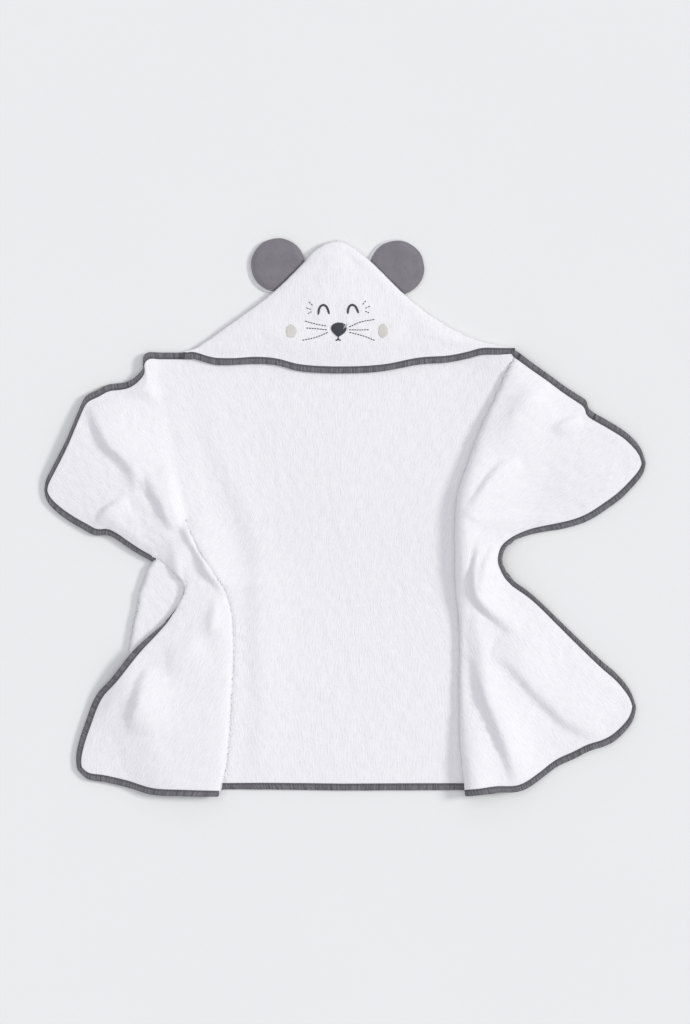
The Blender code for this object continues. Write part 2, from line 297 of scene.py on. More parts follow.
FOLD_LINE = {
    "left": [(-0.167, 0.0115), (-0.157, 0.050), (-0.152, 0.131), (-0.150, 0.198),
             (-0.153, 0.250), (-0.163, 0.281), (-0.181, 0.308), (-0.198, 0.333), (-0.210, 0.362),
             (-0.219, 0.401), (-0.226, 0.441), (-0.233, 0.482), (-0.240, 0.520), (-0.248, 0.560),
             (-0.256, 0.599)],
    "right": [(0.159, 0.0105), (0.154, 0.077), (0.153, 0.131), (0.154, 0.239), (0.151, 0.279),
              (0.151, 0.387), (0.155, 0.414), (0.166, 0.448), (0.180, 0.489), (0.193, 0.520),
              (0.209, 0.556), (0.229, 0.603)],
}
SIDE_HEM = {
    "left": [(-0.361, 0.038), (-0.362, 0.054), (-0.358, 0.075), (-0.350, 0.099), (-0.334, 0.138),
             (-0.315, 0.159), (-0.283, 0.199), (-0.245, 0.233), (-0.224, 0.252), (-0.212, 0.270),
             (-0.216, 0.288), (-0.230, 0.303), (-0.248, 0.314), (-0.268, 0.323), (-0.291, 0.337),
             (-0.310, 0.350), (-0.322, 0.355), (-0.336, 0.354), (-0.352, 0.362), (-0.370, 0.372),
             (-0.390, 0.387), (-0.402, 0.401), (-0.405, 0.414)],
    "right": [(0.392, 0.122), (0.385, 0.142), (0.369, 0.163), (0.345, 0.184), (0.299, 0.228),
              (0.250, 0.275), (0.227, 0.292), (0.213, 0.307), (0.206, 0.322), (0.211, 0.336),
              (0.224, 0.345), (0.249, 0.355), (0.292, 0.363), (0.313, 0.368), (0.332, 0.376),
              (0.352, 0.389), (0.371, 0.403), (0.390, 0.422), (0.402, 0.438), (0.405, 0.451)],
}
TOP_HEM = {
    "left": [(-0.256, 0.599), (-0.266, 0.600), (-0.273, 0.593), (-0.270, 0.582), (-0.281, 0.567),
             (-0.294, 0.559), (-0.310, 0.557), (-0.320, 0.556), (-0.334, 0.548), (-0.349, 0.541),
             (-0.355, 0.530), (-0.363, 0.511), (-0.376, 0.480), (-0.394, 0.445), (-0.403, 0.427),
             (-0.405, 0.414)],
    "right": [(0.229, 0.603), (0.247, 0.589), (0.272, 0.571), (0.297, 0.553), (0.319, 0.5388),
              (0.3275, 0.5328), (0.3258, 0.5262), (0.3335, 0.5190), (0.344, 0.513), (0.363, 0.502),
              (0.381, 0.490), (0.398, 0.471), (0.405, 0.451)],
}
LOW_HEM = {
    "left": [(-0.170, 0.0020), (-0.222, 0.003), (-0.262, 0.005), (-0.292, 0.014),
             (-0.327, 0.022), (-0.347, 0.025), (-0.361, 0.038)],
    "right": [(0.163, 0.0030), (0.183, 0.005), (0.206, 0.008), (0.229, 0.008), (0.241, 0.011),
              (0.264, 0.026), (0.287, 0.043), (0.311, 0.054), (0.331, 0.064), (0.348, 0.069),
              (0.361, 0.075), (0.376, 0.088), (0.388, 0.104), (0.392, 0.122)],
}
# How far each pleat reaches under, and how high its fold stands, from bottom hem to top hem.
PLEAT_DEPTH = {
    "left": [0.050, 0.075, 0.098, 0.118, 0.136, 0.142, 0.134, 0.118, 0.086, 0.040, 0.0,
             0.0, 0.0, 0.0, 0.0, 0.0, 0.0],
    "right": [0.048, 0.054, 0.060, 0.067, 0.074, 0.077, 0.066, 0.048, 0.036, 0.034, 0.036,
              0.038, 0.037, 0.034, 0.030, 0.024, 0.0],
}
FOLD_HEIGHT = {
    "left": [0.0125, 0.013, 0.0135, 0.014, 0.014, 0.014, 0.014, 0.0135, 0.0125, 0.010, 0.0075,
             0.006, 0.005, 0.0035, 0.002, 0.001, 0.0005],
    "right": [0.021, 0.022, 0.017, 0.012, 0.010, 0.010, 0.012, 0.017, 0.022, 0.023, 0.022,
              0.020, 0.018, 0.0155, 0.0125, 0.0095, 0.006],
}
# How far in the crest is, how square its edge is, and how far its height carries.
FOLD_SHAPE = {"left": (0.018, 0.8, 0.060), "right": (0.012, 0.5, 0.026)}
OUTWARD = {"left": -1.0, "right": 1.0}
print(sum(len(line[side]) for line in (FOLD_LINE, SIDE_HEM, TOP_HEM, LOW_HEM) for side in OUTWARD),
      "guide points")

# %% Reading a drawn line
def drawn(points, count):
    """A smooth line through given points, as evenly spaced points."""
    given = np.array(points, float)
    steps = np.linalg.norm(np.diff(given, axis=0), axis=1)
    knots = np.concatenate([[0.0], np.cumsum(np.sqrt(steps))])
    slopes = np.gradient(given, knots, axis=0)
    dense = []
    for index in range(len(given) - 1):
        width = knots[index + 1] - knots[index]
        t = np.linspace(0.0, 1.0, 24, endpoint=False)[:, None]
        dense.append((2 * t**3 - 3 * t**2 + 1) * given[index]
                     + (t**3 - 2 * t**2 + t) * width * slopes[index]
                     + (-2 * t**3 + 3 * t**2) * given[index + 1]
                     + (t**3 - t**2) * width * slopes[index + 1])
    dense.append(given[-1:])
    return spaced(np.concatenate(dense), count)


def distances(line):
    """How far along a line each of its points is."""
    return np.concatenate([[0.0], np.cumsum(np.linalg.norm(np.diff(line, axis=0), axis=1))])


def picked(wanted, run, line):
    """Points of a line at wanted distances, where run says how far along its own points are."""
    return np.stack([np.interp(wanted, run, line[:, axis]) for axis in range(line.shape[1])], 1)


def spaced(line, count):
    """The same line with its points at even distances."""
    run = distances(line)
    return picked(np.linspace(0.0, run[-1], count), run, line)


def ease(value):
    """0 up to 0, 1 from 1, smooth between."""
    value = np.clip(value, 0.0, 1.0)
    return value * value * (3.0 - 2.0 * value)


def softened(line, spread):
    """A line rounded by averaging each point with its neighbours; its ends stay."""
    reach = int(3 * spread)
    share = np.exp(-0.5 * (np.arange(-reach, reach + 1) / spread) ** 2)
    share /= share.sum()
    padded = np.concatenate([2 * line[0] - line[reach:0:-1], line,
                             2 * line[-1] - line[-2:-reach - 2:-1]])
    return np.stack([np.convolve(padded[:, axis], share, "valid")
                     for axis in range(line.shape[1])], 1)


# %% [markdown]
# Small folds are shorter than the pleats. Each is a line on the table plan, drawn from its top
# end down, with the width of its steep left side, the width of its gentle right side, and its
# height. Billows are the broad swells where a corner of the towel does not quite lie down.

# %% Small folds and billows
FOLD_POINTS = 40
STEEPER = 0.8                # makes the steep sides crisper than they were drawn
CREASES = [
    # the left side
    ([(-0.344, 0.531), (-0.332, 0.504), (-0.319, 0.478), (-0.304, 0.464), (-0.292, 0.452),
      (-0.284, 0.435), (-0.279, 0.414)], 0.0100, 0.045, 0.0062),
    ([(-0.267, 0.431), (-0.258, 0.414), (-0.248, 0.400), (-0.242, 0.385), (-0.228, 0.360)],
      0.0080, 0.035, 0.0056),
    ([(-0.159, 0.281), (-0.169, 0.261), (-0.176, 0.240), (-0.180, 0.217)], 0.0090, 0.020, 0.0042),
    ([(-0.296, 0.404), (-0.310, 0.394), (-0.323, 0.385), (-0.333, 0.371)], 0.0050, 0.020, 0.0032),
    ([(-0.306, 0.553), (-0.263, 0.547), (-0.225, 0.537)], 0.0120, 0.030, 0.0030),
    ([(-0.263, 0.174), (-0.273, 0.153), (-0.278, 0.132), (-0.284, 0.112), (-0.289, 0.090)],
      0.0075, 0.035, 0.0046),
    ([(-0.196, 0.212), (-0.216, 0.198), (-0.243, 0.192)], 0.0140, 0.030, 0.0024),
    # the right side
    ([(0.232, 0.458), (0.211, 0.447), (0.196, 0.431), (0.180, 0.408), (0.161, 0.378)],
      0.0050, 0.030, 0.0040),
    ([(0.181, 0.347), (0.177, 0.320), (0.174, 0.293), (0.177, 0.273), (0.189, 0.257),
      (0.204, 0.243), (0.217, 0.232), (0.231, 0.224)], 0.0060, 0.022, 0.0062),
    ([(0.203, 0.340), (0.193, 0.320), (0.186, 0.298), (0.182, 0.277)], 0.0070, 0.018, 0.0034),
    ([(0.157, 0.252), (0.166, 0.212), (0.173, 0.185), (0.182, 0.153), (0.192, 0.126),
      (0.200, 0.107), (0.209, 0.086), (0.216, 0.066), (0.223, 0.046), (0.232, 0.016)],
      0.0070, 0.024, 0.0066),
    ([(0.196, 0.198), (0.219, 0.184), (0.238, 0.166), (0.254, 0.147), (0.274, 0.127),
      (0.294, 0.108), (0.315, 0.095), (0.347, 0.080)], 0.0090, 0.050, 0.0050),
    ([(0.298, 0.582), (0.258, 0.541), (0.217, 0.508), (0.188, 0.485)], 0.0200, 0.040, 0.0030),
    ([(0.317, 0.513), (0.301, 0.506), (0.279, 0.498)], 0.0050, 0.012, 0.0034),
    ([(0.290, 0.385), (0.250, 0.379), (0.209, 0.374), (0.169, 0.371)], 0.0100, 0.016, 0.0020),
]
PANEL_SWELL = ([(-0.209, 0.576), (-0.190, 0.536), (-0.178, 0.482), (-0.162, 0.441), (-0.142, 0.401),
                (-0.126, 0.360), (-0.120, 0.320), (-0.117, 0.266), (-0.116, 0.198), (-0.113, 0.131),
                (-0.116, 0.063), (-0.124, 0.003)], 0.016, 0.030, 0.0030)
NOTCH_SWELL = ([(-0.221, 0.372), (-0.212, 0.356), (-0.202, 0.342), (-0.193, 0.327), (-0.185, 0.309),
                (-0.175, 0.296), (-0.163, 0.284), (-0.156, 0.270)], 0.0080, 0.030, 0.0110)
BILLOWS = [((-0.335, 0.470), 0.078, 0.0085), ((-0.290, 0.360), 0.060, 0.0090),
           ((-0.300, 0.110), 0.080, 0.0075), ((0.330, 0.440), 0.080, 0.0060),
           ((0.260, 0.520), 0.060, 0.0040), ((0.310, 0.130), 0.080, 0.0080),
           ((0.230, 0.060), 0.050, 0.0040), ((-0.270, 0.588), 0.022, 0.0045)]


print(len(CREASES) + 2, "small folds and", len(BILLOWS), "billows")


# %% What folds and billows add to the height
def billow_height(x, y):
    """What the billows add at plan positions, as an array."""
    total = np.zeros_like(x)
    for (bx, by), radius, height in BILLOWS:
        total += height * np.exp(-((x - bx) ** 2 + (y - by) ** 2) / radius**2)
    return total


def fold_height(x, y, folds):
    """What small folds add at plan positions: steep on their left, gentle on their right."""
    total = np.zeros_like(x)
    for points, steep, gentle, height in folds:
        line = drawn(points, FOLD_POINTS)
        along = np.gradient(line, axis=0)
        dx, dy = x[..., None] - line[:, 0], y[..., None] - line[:, 1]
        distance = np.hypot(dx, dy)
        nearest = distance.argmin(-1)
        pick = nearest[..., None]
        cross = (along[nearest, 0] * np.take_along_axis(dy, pick, -1)[..., 0]
                 - along[nearest, 1] * np.take_along_axis(dx, pick, -1)[..., 0])
        width = np.where(cross < 0.0, STEEPER * steep, gentle)
        fade = np.clip(np.sin(np.pi * nearest / (FOLD_POINTS - 1.0)), 0.0, 1.0) ** 0.7
        total += height * fade * np.exp(-(distance.min(-1) / width) ** 2)
    return total


def length_of(line):
    """The length of a line in metres."""
    return float(np.linalg.norm(np.diff(line, axis=0), axis=1).sum())


# %% The side of the panel in plan
ROWS = round(FLAT_LENGTH / THREAD_STEP)
SIDE_STEPS = 60


def patch_of_side(side):
    """The side of the panel outside its fold line, in plan: rows by steps."""
    fold = drawn(FOLD_LINE[side], ROWS + 1)
    hem = drawn(SIDE_HEM[side], ROWS + 1)
    top, low = drawn(TOP_HEM[side], SIDE_STEPS + 1), drawn(LOW_HEM[side], SIDE_STEPS + 1)
    shift = (low[0] - fold[0]) * (1.0 - ease(np.linspace(0.0, 3.5, ROWS + 1)))[:, None]
    fold = fold + shift
    v = np.linspace(0.0, 1.0, ROWS + 1)[:, None, None]
    s = np.linspace(0.0, 1.0, SIDE_STEPS + 1)[None, :, None]
    near_top = ease((v - 0.88) / 0.12)          # the notches of the top hem fade out below it
    top_line = near_top * top[None] + (1 - near_top) * softened(top, 6.0)[None]
    between_hems = (1 - v) * low[None] + v * top_line
    between_lines = (1 - s) * fold[:, None] + s * hem[:, None]
    corners = (1 - s) * ((1 - v) * fold[0] + v * fold[-1]) + s * ((1 - v) * hem[0] + v * hem[-1])
    return between_hems + between_lines - corners


# %% The crosswise threads
MIDDLE_X = -0.004
MIDDLE_LOW, MIDDLE_HIGH = 0.0100, 0.6010        # plan y of the panel's middle at its two hems
FULL_PLEAT = 0.034                              # a pleat as deep as this has all three layers
SLOPE = (0.060, 0.048, 0.036, 0.024, 0.012, 0.0)
HEM_HOLD = 0.35                                 # how much of a swell is left right at the hem


def side_threads(side):
    """Threads from the middle to the side hem, and where on each its top layer starts."""
    out = OUTWARD[side]
    patch = patch_of_side(side)
    fold = drawn(FOLD_LINE[side], ROWS + 1)
    share = np.linspace(0.0, 1.0, len(PLEAT_DEPTH[side]))
    flat_half = abs(FLAT_LEFT) if side == "left" else FLAT_RIGHT
    lip, round_off, fall = FOLD_SHAPE[side]
    threads, starts = [], []
    for row in range(ROWS + 1):
        v = row / ROWS
        depth = float(np.interp(v, share, PLEAT_DEPTH[side]))
        crest = float(np.interp(v, share, FOLD_HEIGHT[side]))
        full = float(ease(depth / FULL_PLEAT))
        middle_y = MIDDLE_LOW * (1 - v) + MIDDLE_HIGH * v
        fx, fy = fold[row]
        wx, wy = patch[row, 0]
        hill = crest * (1.0 - float(ease(depth / 0.040)))
        peak = max(crest, hill + 2 * LAYER * full)
        slope = [(fx - out * away, fy, REST + hill * float(ease(1.0 - away / SLOPE[0])))
                 for away in SLOPE]
        under = [(MIDDLE_X, middle_y, REST), *slope,
                 (fx + out * depth, fy, REST + 0.15 * LAYER * full + hill),
                 (fx + out * depth, (fy + wy) / 2, REST + 0.85 * LAYER * full + hill),
                 (wx + out * 0.012 * full, wy, REST + LAYER * full + hill),
                 (wx - out * 0.001 * full, wy, REST + 1.6 * LAYER * full + hill),
                 (wx + out * 0.001 * full, wy, REST + hill + (peak - hill) * 0.8 * full)]
        over = patch[row]
        away = np.hypot(over[:, 0] - wx, over[:, 1] - wy)
        lying = REST + (2 * LAYER * full + hill) * (1.0 - ease((away - depth) / 0.080))
        rounded_lip = np.sin(np.clip(away / lip, 0, 1) * np.pi / 2) ** round_off
        rise = np.where(away < lip, full * rounded_lip + (1.0 - full) * np.exp(-(away / fall) ** 2),
                        np.exp(-((away - lip * full) / fall) ** 2))
        height = lying + (np.maximum(REST + peak - lying, 0.0)) * rise
        to_hem = np.hypot(over[:, 0] - over[-1, 0], over[:, 1] - over[-1, 1])
        hold = HEM_HOLD + (1.0 - HEM_HOLD) * ease(np.minimum(to_hem, away + 0.004) / 0.022)
        height = height + billow_height(over[:, 0], over[:, 1]) * hold
        over = np.column_stack([over, np.maximum(height, REST)])
        run = spaced(np.array(under), 500 if full < 0.01 else 700)
        whole = spaced(np.concatenate([run, over[away > 0.003]]), 900)
        rounded = softened(whole, 4.0)
        threads.append(spaced(rounded, round(flat_half / THREAD_STEP) + 1))
        starts.append(length_of(run) / length_of(rounded) * (len(threads[-1]) - 1))
    return np.array(threads), np.array(starts)


left, left_starts = side_threads("left")
right, right_starts = side_threads("right")
cloth = np.concatenate([left[:, ::-1], right[:, 1:]], axis=1)
for side, threads in (("left", left), ("right", right)):
    print(side, "threads are", [round(length_of(threads[row]), 3) for row in range(0, ROWS, 30)],
          "m long")

# %% [markdown]
# ## From threads to a sheet
#
# The points become one mesh with the flat cloth's own coordinates as its UV map. A short cloth
# simulation then lets the two sides settle on the table: the hems and all that lies under a
# pleat are pinned, and the sides are given a little more cloth than the space they have. The
# layers of a pleat don't feel each other in it, which would take minutes, so we let it in
# gradually past each fold, and let no point sink by more than a small drop.

# %% A sheet from rows of points
def lay_flat(item, pairs):
    """Give each point its place on the flat cloth, in metres, and the piece smooth shading."""
    mesh = item.data
    corners = np.empty(len(mesh.loops), int)
    mesh.loops.foreach_get("vertex_index", corners)
    flat = mesh.uv_layers.get("flat_cloth") or mesh.uv_layers.new(name="flat_cloth")
    flat.data.foreach_set("uv", pairs[corners].ravel())
    mesh.polygons.foreach_set("use_smooth", [True] * len(mesh.polygons))
    return flat


def sheet_from(name, grid, u_values, v_values):
    """A mesh over rows of points, with flat coordinates in metres as its UV map."""
    rows, columns = grid.shape[:2]
    places = grid.reshape(-1, 3) + np.array([0.0, HEM_Y, 0.0])
    faces = [(r * columns + c, r * columns + c + 1, (r + 1) * columns + c + 1,
              (r + 1) * columns + c) for r in range(rows - 1) for c in range(columns - 1)]
    mesh = bpy.data.meshes.new(name)
    mesh.from_pydata(places.tolist(), [], faces)
    item = new_object(name, mesh)
    lay_flat(item, np.column_stack([np.tile(u_values, rows), np.repeat(v_values, columns)]))
    return item


def weights(item, name, values):
    """A vertex group that holds the values that are above 0."""
    group = item.vertex_groups.new(name=name)
    for index in np.nonzero(values > 0.0)[0]:
        group.add([int(index)], float(values[index]), "REPLACE")
    return group


columns = cloth.shape[1]
u_values = np.concatenate([np.linspace(FLAT_LEFT, 0.0, left.shape[1]),
                           np.linspace(0.0, FLAT_RIGHT, right.shape[1])[1:]])
v_values = np.linspace(0.0, FLAT_LENGTH, ROWS + 1)
panel = sheet_from("terry_panel", cloth, u_values, v_values)
print("panel has", len(panel.data.vertices), "points")

# %% The simulation
SETTLE_FRAMES = 12
EXTRA_CLOTH = 0.05


def settle(item, pinned, roomy):
    """Run a short cloth simulation on the sheet over a table top, and keep its result."""
    weights(item, "pinned", pinned)
    weights(item, "roomy", roomy)
    bpy.ops.object.select_all(action="DESELECT")
    bpy.ops.mesh.primitive_plane_add(size=2.0, location=(0.0, 0.0, 0.0))
    support = bpy.context.object
    support.modifiers.new("support", "COLLISION")
    support.collision.thickness_outer = 0.0010
    support.collision.cloth_friction = 60.0
    cloth_part = item.modifiers.new("settle", "CLOTH")
    fabric = cloth_part.settings
    fabric.quality = 6
    fabric.mass = 0.00002
    fabric.tension_stiffness = fabric.compression_stiffness = 12.0
    fabric.shear_stiffness = 4.0
    fabric.bending_stiffness = 0.4
    fabric.air_damping = 2.0
    fabric.vertex_group_mass = "pinned"
    fabric.pin_stiffness = 1.0
    fabric.shrink_min = 0.0
    fabric.shrink_max = -EXTRA_CLOTH
    fabric.vertex_group_shrink = "roomy"
    contact = cloth_part.collision_settings
    contact.collision_quality = 3
    contact.distance_min = 0.0012
    contact.use_self_collision = False
    cloth_part.point_cache.frame_start = 1
    cloth_part.point_cache.frame_end = SETTLE_FRAMES
    scene = bpy.context.scene
    scene.frame_start, scene.frame_end = 1, SETTLE_FRAMES
    for moment in range(1, SETTLE_FRAMES + 1):
        scene.frame_set(moment)
    bpy.context.view_layer.objects.active = item
    bpy.ops.object.modifier_apply(modifier="settle")
    bpy.data.objects.remove(support, do_unlink=True)
    scene.frame_set(1)


def places_of(item):
    numbers = np.empty(3 * len(item.data.vertices))
    item.data.vertices.foreach_get("co", numbers)
    return numbers.reshape(-1, 3)


# %% Let it settle
MOST_DROP = 0.0015           # the hidden layers of a pleat hold the top one up
PINNED_EDGE = 0.006
LET_IN = 26.0                # points over which the settled shape takes over past a fold
v_grid, u_grid = np.meshgrid(v_values, u_values, indexing="ij")
edge_distance = np.minimum.reduce([u_grid - FLAT_LEFT, FLAT_RIGHT - u_grid, v_grid,
                                   FLAT_LENGTH - v_grid])
pinned = np.where(edge_distance < PINNED_EDGE, 1.0, 0.0)


def past_fold(threads, starts):
    """How many points each point of a thread lies outside the place where the top layer starts."""
    return np.arange(threads.shape[1])[None, :] - starts[:, None]


outside = np.concatenate([past_fold(left, left_starts)[:, ::-1],
                          past_fold(right, right_starts)[:, 1:]], axis=1)
free = ease(outside / 8.0)
pinned = np.maximum(pinned, 1.0 - free).ravel()
wing = ease(edge_distance / 0.03).ravel() * (1.0 - pinned)
before = places_of(panel)
settle(panel, pinned, wing)
after = before + (places_of(panel) - before) * ease((outside - 2) / LET_IN).reshape(-1, 1)
after[:, 2] = np.maximum(after[:, 2], before[:, 2] - MOST_DROP)
moved = np.linalg.norm(after - before, axis=1)
print("the cloth settled by up to", round(float(moved.max()) * 1000, 1), "mm, on average",
      round(float(moved.mean()) * 1000, 2), "mm")

# %% [markdown]
# The small folds are pressed into the settled cloth here, so that they stay crisp. At the notch
# of the left side the hem is tucked under, so the cloth turns down and back there and hides its
# own tape. We turn the last centimetre and a half of those threads round a small bend, and let
# the cloth beside it reach out to where the bend needs it.

# %% Small folds and the tucked hem
FOLD_DEPTH = 1.85
TUCK_FROM, TUCK_TO = 0.262, 0.312
TUCK_REACH = 0.0150
TUCK_BEND = 0.0080
TUCK_PUSH = 0.0110
TUCK_POINTS = 40


def unit(vectors):
    return vectors / np.maximum(np.linalg.norm(vectors, axis=-1, keepdims=True), 1e-9)


def tucked(thread, amount):
    """The thread from its hem inward, with its first points turned under by the amount."""
    first = thread[:TUCK_POINTS]
    steps = np.linalg.norm(np.diff(first, axis=0), axis=1)
    run = distances(first)
    outward = unit((thread[0] - thread[8]) * np.array([1.0, 1.0, 0.0]))
    fade = (1.0 - ease((run - TUCK_REACH) / 0.05))[:, None]
    given = first + outward * TUCK_PUSH * amount * fade
    shaped = given.copy()
    corner = int(np.searchsorted(run, TUCK_REACH))
    place = given[corner]
    for index in range(corner - 1, -1, -1):
        along = TUCK_REACH - run[index]
        turn = amount * math.pi * float(ease(along / TUCK_BEND))
        step = steps[index]
        place = place + step * (outward * math.cos(turn) - np.array([0.0, 0.0, math.sin(turn)]))
        shaped[index] = place
    return np.concatenate([shaped, thread[TUCK_POINTS:]])


# %% Pressing in the folds and turning the hem
settled = after.reshape(ROWS + 1, columns, 3)
plan_x, plan_y = settled[..., 0], settled[..., 1] - HEM_Y
hold = HEM_HOLD + (1.0 - HEM_HOLD) * ease(edge_distance / 0.022)
settled[..., 2] += FOLD_DEPTH * fold_height(plan_x, plan_y, CREASES) * hold * free
settled[..., 2] += fold_height(plan_x, plan_y, [PANEL_SWELL, NOTCH_SWELL])
settled[..., 2] = np.maximum(settled[..., 2], REST)
hem_y = settled[:, 0, 1] - HEM_Y
tuck = ease((hem_y - TUCK_FROM + 0.020) / 0.026) * ease((TUCK_TO + 0.012 - hem_y) / 0.022)
tuck = tuck * (settled[:, 0, 0] > -0.262)
for row in np.nonzero(tuck > 0.01)[0]:
    settled[row] = tucked(settled[row], float(tuck[row]))
settled[..., 2] = np.maximum(settled[..., 2], REST)
print("rows with a tucked hem:", int((tuck > 0.01).sum()), "lowest hem there",
      round(float(settled[tuck > 0.5, 0, 2].min()) * 1000, 1), "mm")

# %% [markdown]
# The settled points get a little unevenness, as the pile has, and then the cloth's real
# thickness, with closed edges. The edge stays inside the tape that we fold over it next.

# %% Pile and thickness
PILE = 0.0006
PILE_SCALE = 110.0
TAPE_ARM = 0.0084            # how far the tape reaches in from the hem
PRESSED_SHARE = 0.4          # of the cloth's thickness, inside the tape
PRESSED_TO = 0.0045          # how far in from the hem it is pressed


def rough_up(item, amount, keep=1.0):
    """Move each point along its normal by a smooth noise, as uneven pile does."""
    normals = np.empty(3 * len(item.data.vertices))
    item.data.vertices.foreach_get("normal", normals)
    places = places_of(item)
    lumps = np.array([noise.fractal(Vector(place) * PILE_SCALE, 0.8, 2.0, 3)
                      for place in places])
    lumps = (lumps * keep)[:, None] * amount
    item.data.vertices.foreach_set("co", (places + normals.reshape(-1, 3) * lumps).ravel())
    item.data.update()


def thicken(item, thickness, pressed=None):
    """Give a sheet its thickness, half to each side, with its edges closed.

    Where pressed is 0 the cloth is squeezed to under half its thickness, as inside a tape.
    """
    bpy.ops.object.select_all(action="DESELECT")
    bpy.context.view_layer.objects.active = item
    item.select_set(True)
    wall = item.modifiers.new("cloth_thickness", "SOLIDIFY")
    wall.thickness = thickness
    wall.offset = 0.0
    wall.use_even_offset = False
    if pressed is not None:
        wall.vertex_group = weights(item, "unpressed", pressed).name
        wall.thickness_vertex_group = PRESSED_SHARE
    bpy.ops.object.modifier_apply(modifier="cloth_thickness")


panel.data.vertices.foreach_set("co", settled.reshape(-1))
panel.data.update()
rough_up(panel, PILE, ease((edge_distance - TAPE_ARM) / 0.008).ravel())
thicken(panel, CLOTH, ease((edge_distance - PRESSED_TO) / PRESSED_TO).ravel())
panel.data.materials.append(TERRY)
print("panel has", len(panel.data.polygons), "faces")

# %% [markdown]
# ## Bias tape
#
# The tape is a strip of grey cotton folded in half over the cloth's edge and topstitched. It
# takes its shape from the cloth: for every step along the hem we look up the places and
# directions of the sheet a few millimetres in, so the tape wraps the cloth through every lift,
# fold and corner. Easing it round the curves makes small gathers across it.

# %% Tape and thread finishes
# how dark the painted shade beside a seam is, as a share of the dark tone
SEAM_PAINTED_SHADE = 0.45
COTTON_RELIEF = 0.0004
TAPE_RELIEF = 0.0014
TAPE_TONES = ((0.080, 0.078, 0.086), (0.196, 0.191, 0.206))
ALONG, ACROSS = (1.0, 0.18, 1.0), (0.18, 1.0, 1.0)      # threads drawn out along Y and along X


def woven_finish(name, dark, light, roughness=0.9, sheen=0.15, weave=900.0, seam=0.0):
    """Plain cotton: fine threads, slow changes of tone, and painted shade up to seam metres from Y
    = 0.
    """
    material, shader, flat, _ = cloth_finish(name, roughness, sheen)
    across = flat.noise(weave, 1.0, 0.5, ALONG)
    along = flat.noise(weave, 1.0, 0.5, ACROSS)
    worn = flat.noise(45.0, 3.0, 0.6)
    height = across * 0.5 + along * 0.5 + worn * 0.2
    colour = (across * 0.25 + along * 0.25 + worn * 0.5).eased(0.32, 0.66).between(dark, light)
    if seam:
        shade = tuple(SEAM_PAINTED_SHADE * part for part in dark)
        colour = (flat.part("Y") + (worn - 0.5) * 0.002).eased(0.0, seam).between(shade, colour)
    colour_in(shader, colour)
    relief(shader, height, COTTON_RELIEF)
    return material


def tape_finish():
    """The tape's cotton, with painted shade in its creases and at its stitched inner edge."""
    material, shader, flat, _ = cloth_finish("tape_grey", 0.9, 0.15)
    threads = flat.noise(900.0, 1.0, 0.5, ALONG) + flat.noise(900.0, 1.0, 0.5, ACROSS)
    ribs = flat.noise(430.0, 2.0, 0.6, (1.0, 0.08, 1.0))
    creases = flat.noise(75.0, 1.0, 0.5, (1.0, 0.10, 1.0)).eased(0.62, 0.72)
    edge_shade_and_stitch = flat.part("Y").eased(0.0004, 0.0026)
    height = ribs + threads * 0.12 - creases * 0.6
    # Painted shade darkens the creases; the dark inner edge is partly the stitch line and partly
    # painted shade.
    tone = (ribs * 0.75 + threads * 0.125).eased(0.30, 0.64) * (1.0 - creases * 0.6)
    colour_in(shader, (tone * (edge_shade_and_stitch * 0.75 + 0.25)).between(*TAPE_TONES))
    relief(shader, height, TAPE_RELIEF)
    return material


TAPE = tape_finish()
THREAD = woven_finish("tape_thread", (0.050, 0.050, 0.058), (0.090, 0.088, 0.097), 0.7)
print("tape has", len(TAPE.node_tree.nodes), "nodes, its thread", len(THREAD.node_tree.nodes))

# %% Looking up places on a sheet
TAPE_STEP = 0.0024
TAPE_DEPTHS = np.array([0.0, 0.0016, 0.0034, 0.0050, 0.0062, 0.0072, TAPE_ARM])


def looked_up(values, row, column):
    """Values of a grid at fractional rows and columns."""
    row = np.clip(row, 0.0, values.shape[0] - 1.001)
    column = np.clip(column, 0.0, values.shape[1] - 1.001)
    r, c = row.astype(int), column.astype(int)
    fr, fc = (row - r)[..., None], (column - c)[..., None]
    return ((1 - fr) * ((1 - fc) * values[r, c] + fc * values[r, c + 1])
            + fr * ((1 - fc) * values[r + 1, c] + fc * values[r + 1, c + 1]))


def grid_normals(grid):
    """The upward direction of the sheet at each of its points."""
    across = np.gradient(grid, axis=1)
    upward = np.gradient(grid, axis=0)
    return unit(np.cross(across, upward))


def along_edge(grid, path, spacing):
    """Places, upward directions and distances along an edge, at the tape's depths.

    The path is a list of corners in rows and columns; the cloth is always on its left.
    """
    corners = np.array(path, float)
    points, inward = [], []
    for start, end in zip(corners[:-1], corners[1:]):
        side = end - start
        count = max(2, int(np.abs(side).max() * 8))
        points.append(start + side * np.linspace(0.0, 1.0, count, endpoint=False)[:, None])
        turn = np.array([side[1], -side[0]])
        inward.append(np.repeat(unit(turn)[None], count, 0))
    points, inward = np.concatenate(points), np.concatenate(inward)
    inward = unit(softened(inward, 14.0))
    normals = grid_normals(grid)
    run = distances(looked_up(grid, points[:, 0], points[:, 1]))
    wanted = np.linspace(0.0, run[-1], round(run[-1] / TAPE_STEP))
    points, inward = picked(wanted, run, points), unit(picked(wanted, run, inward))
    stretch = np.ones(len(points))
    for _ in range(3):
        reach = points + inward * (TAPE_ARM / spacing * stretch)[:, None]
        far = looked_up(grid, reach[:, 0], reach[:, 1])
        near = looked_up(grid, points[:, 0], points[:, 1])
        width = np.linalg.norm(far - near, axis=1)
        stretch = np.clip(stretch * TAPE_ARM / np.maximum(width, 0.001), 0.5, 2.0)
        stretch = softened(stretch[:, None], 2.5)[:, 0]
    places, ups = [], []
    for depth in TAPE_DEPTHS:
        spot = points + inward * (depth / spacing * stretch)[:, None]
        places.append(softened(looked_up(grid, spot[:, 0], spot[:, 1]), 1.2))
        ups.append(unit(softened(looked_up(normals, spot[:, 0], spot[:, 1]), 1.6)))
    return np.array(places), np.array(ups), wanted


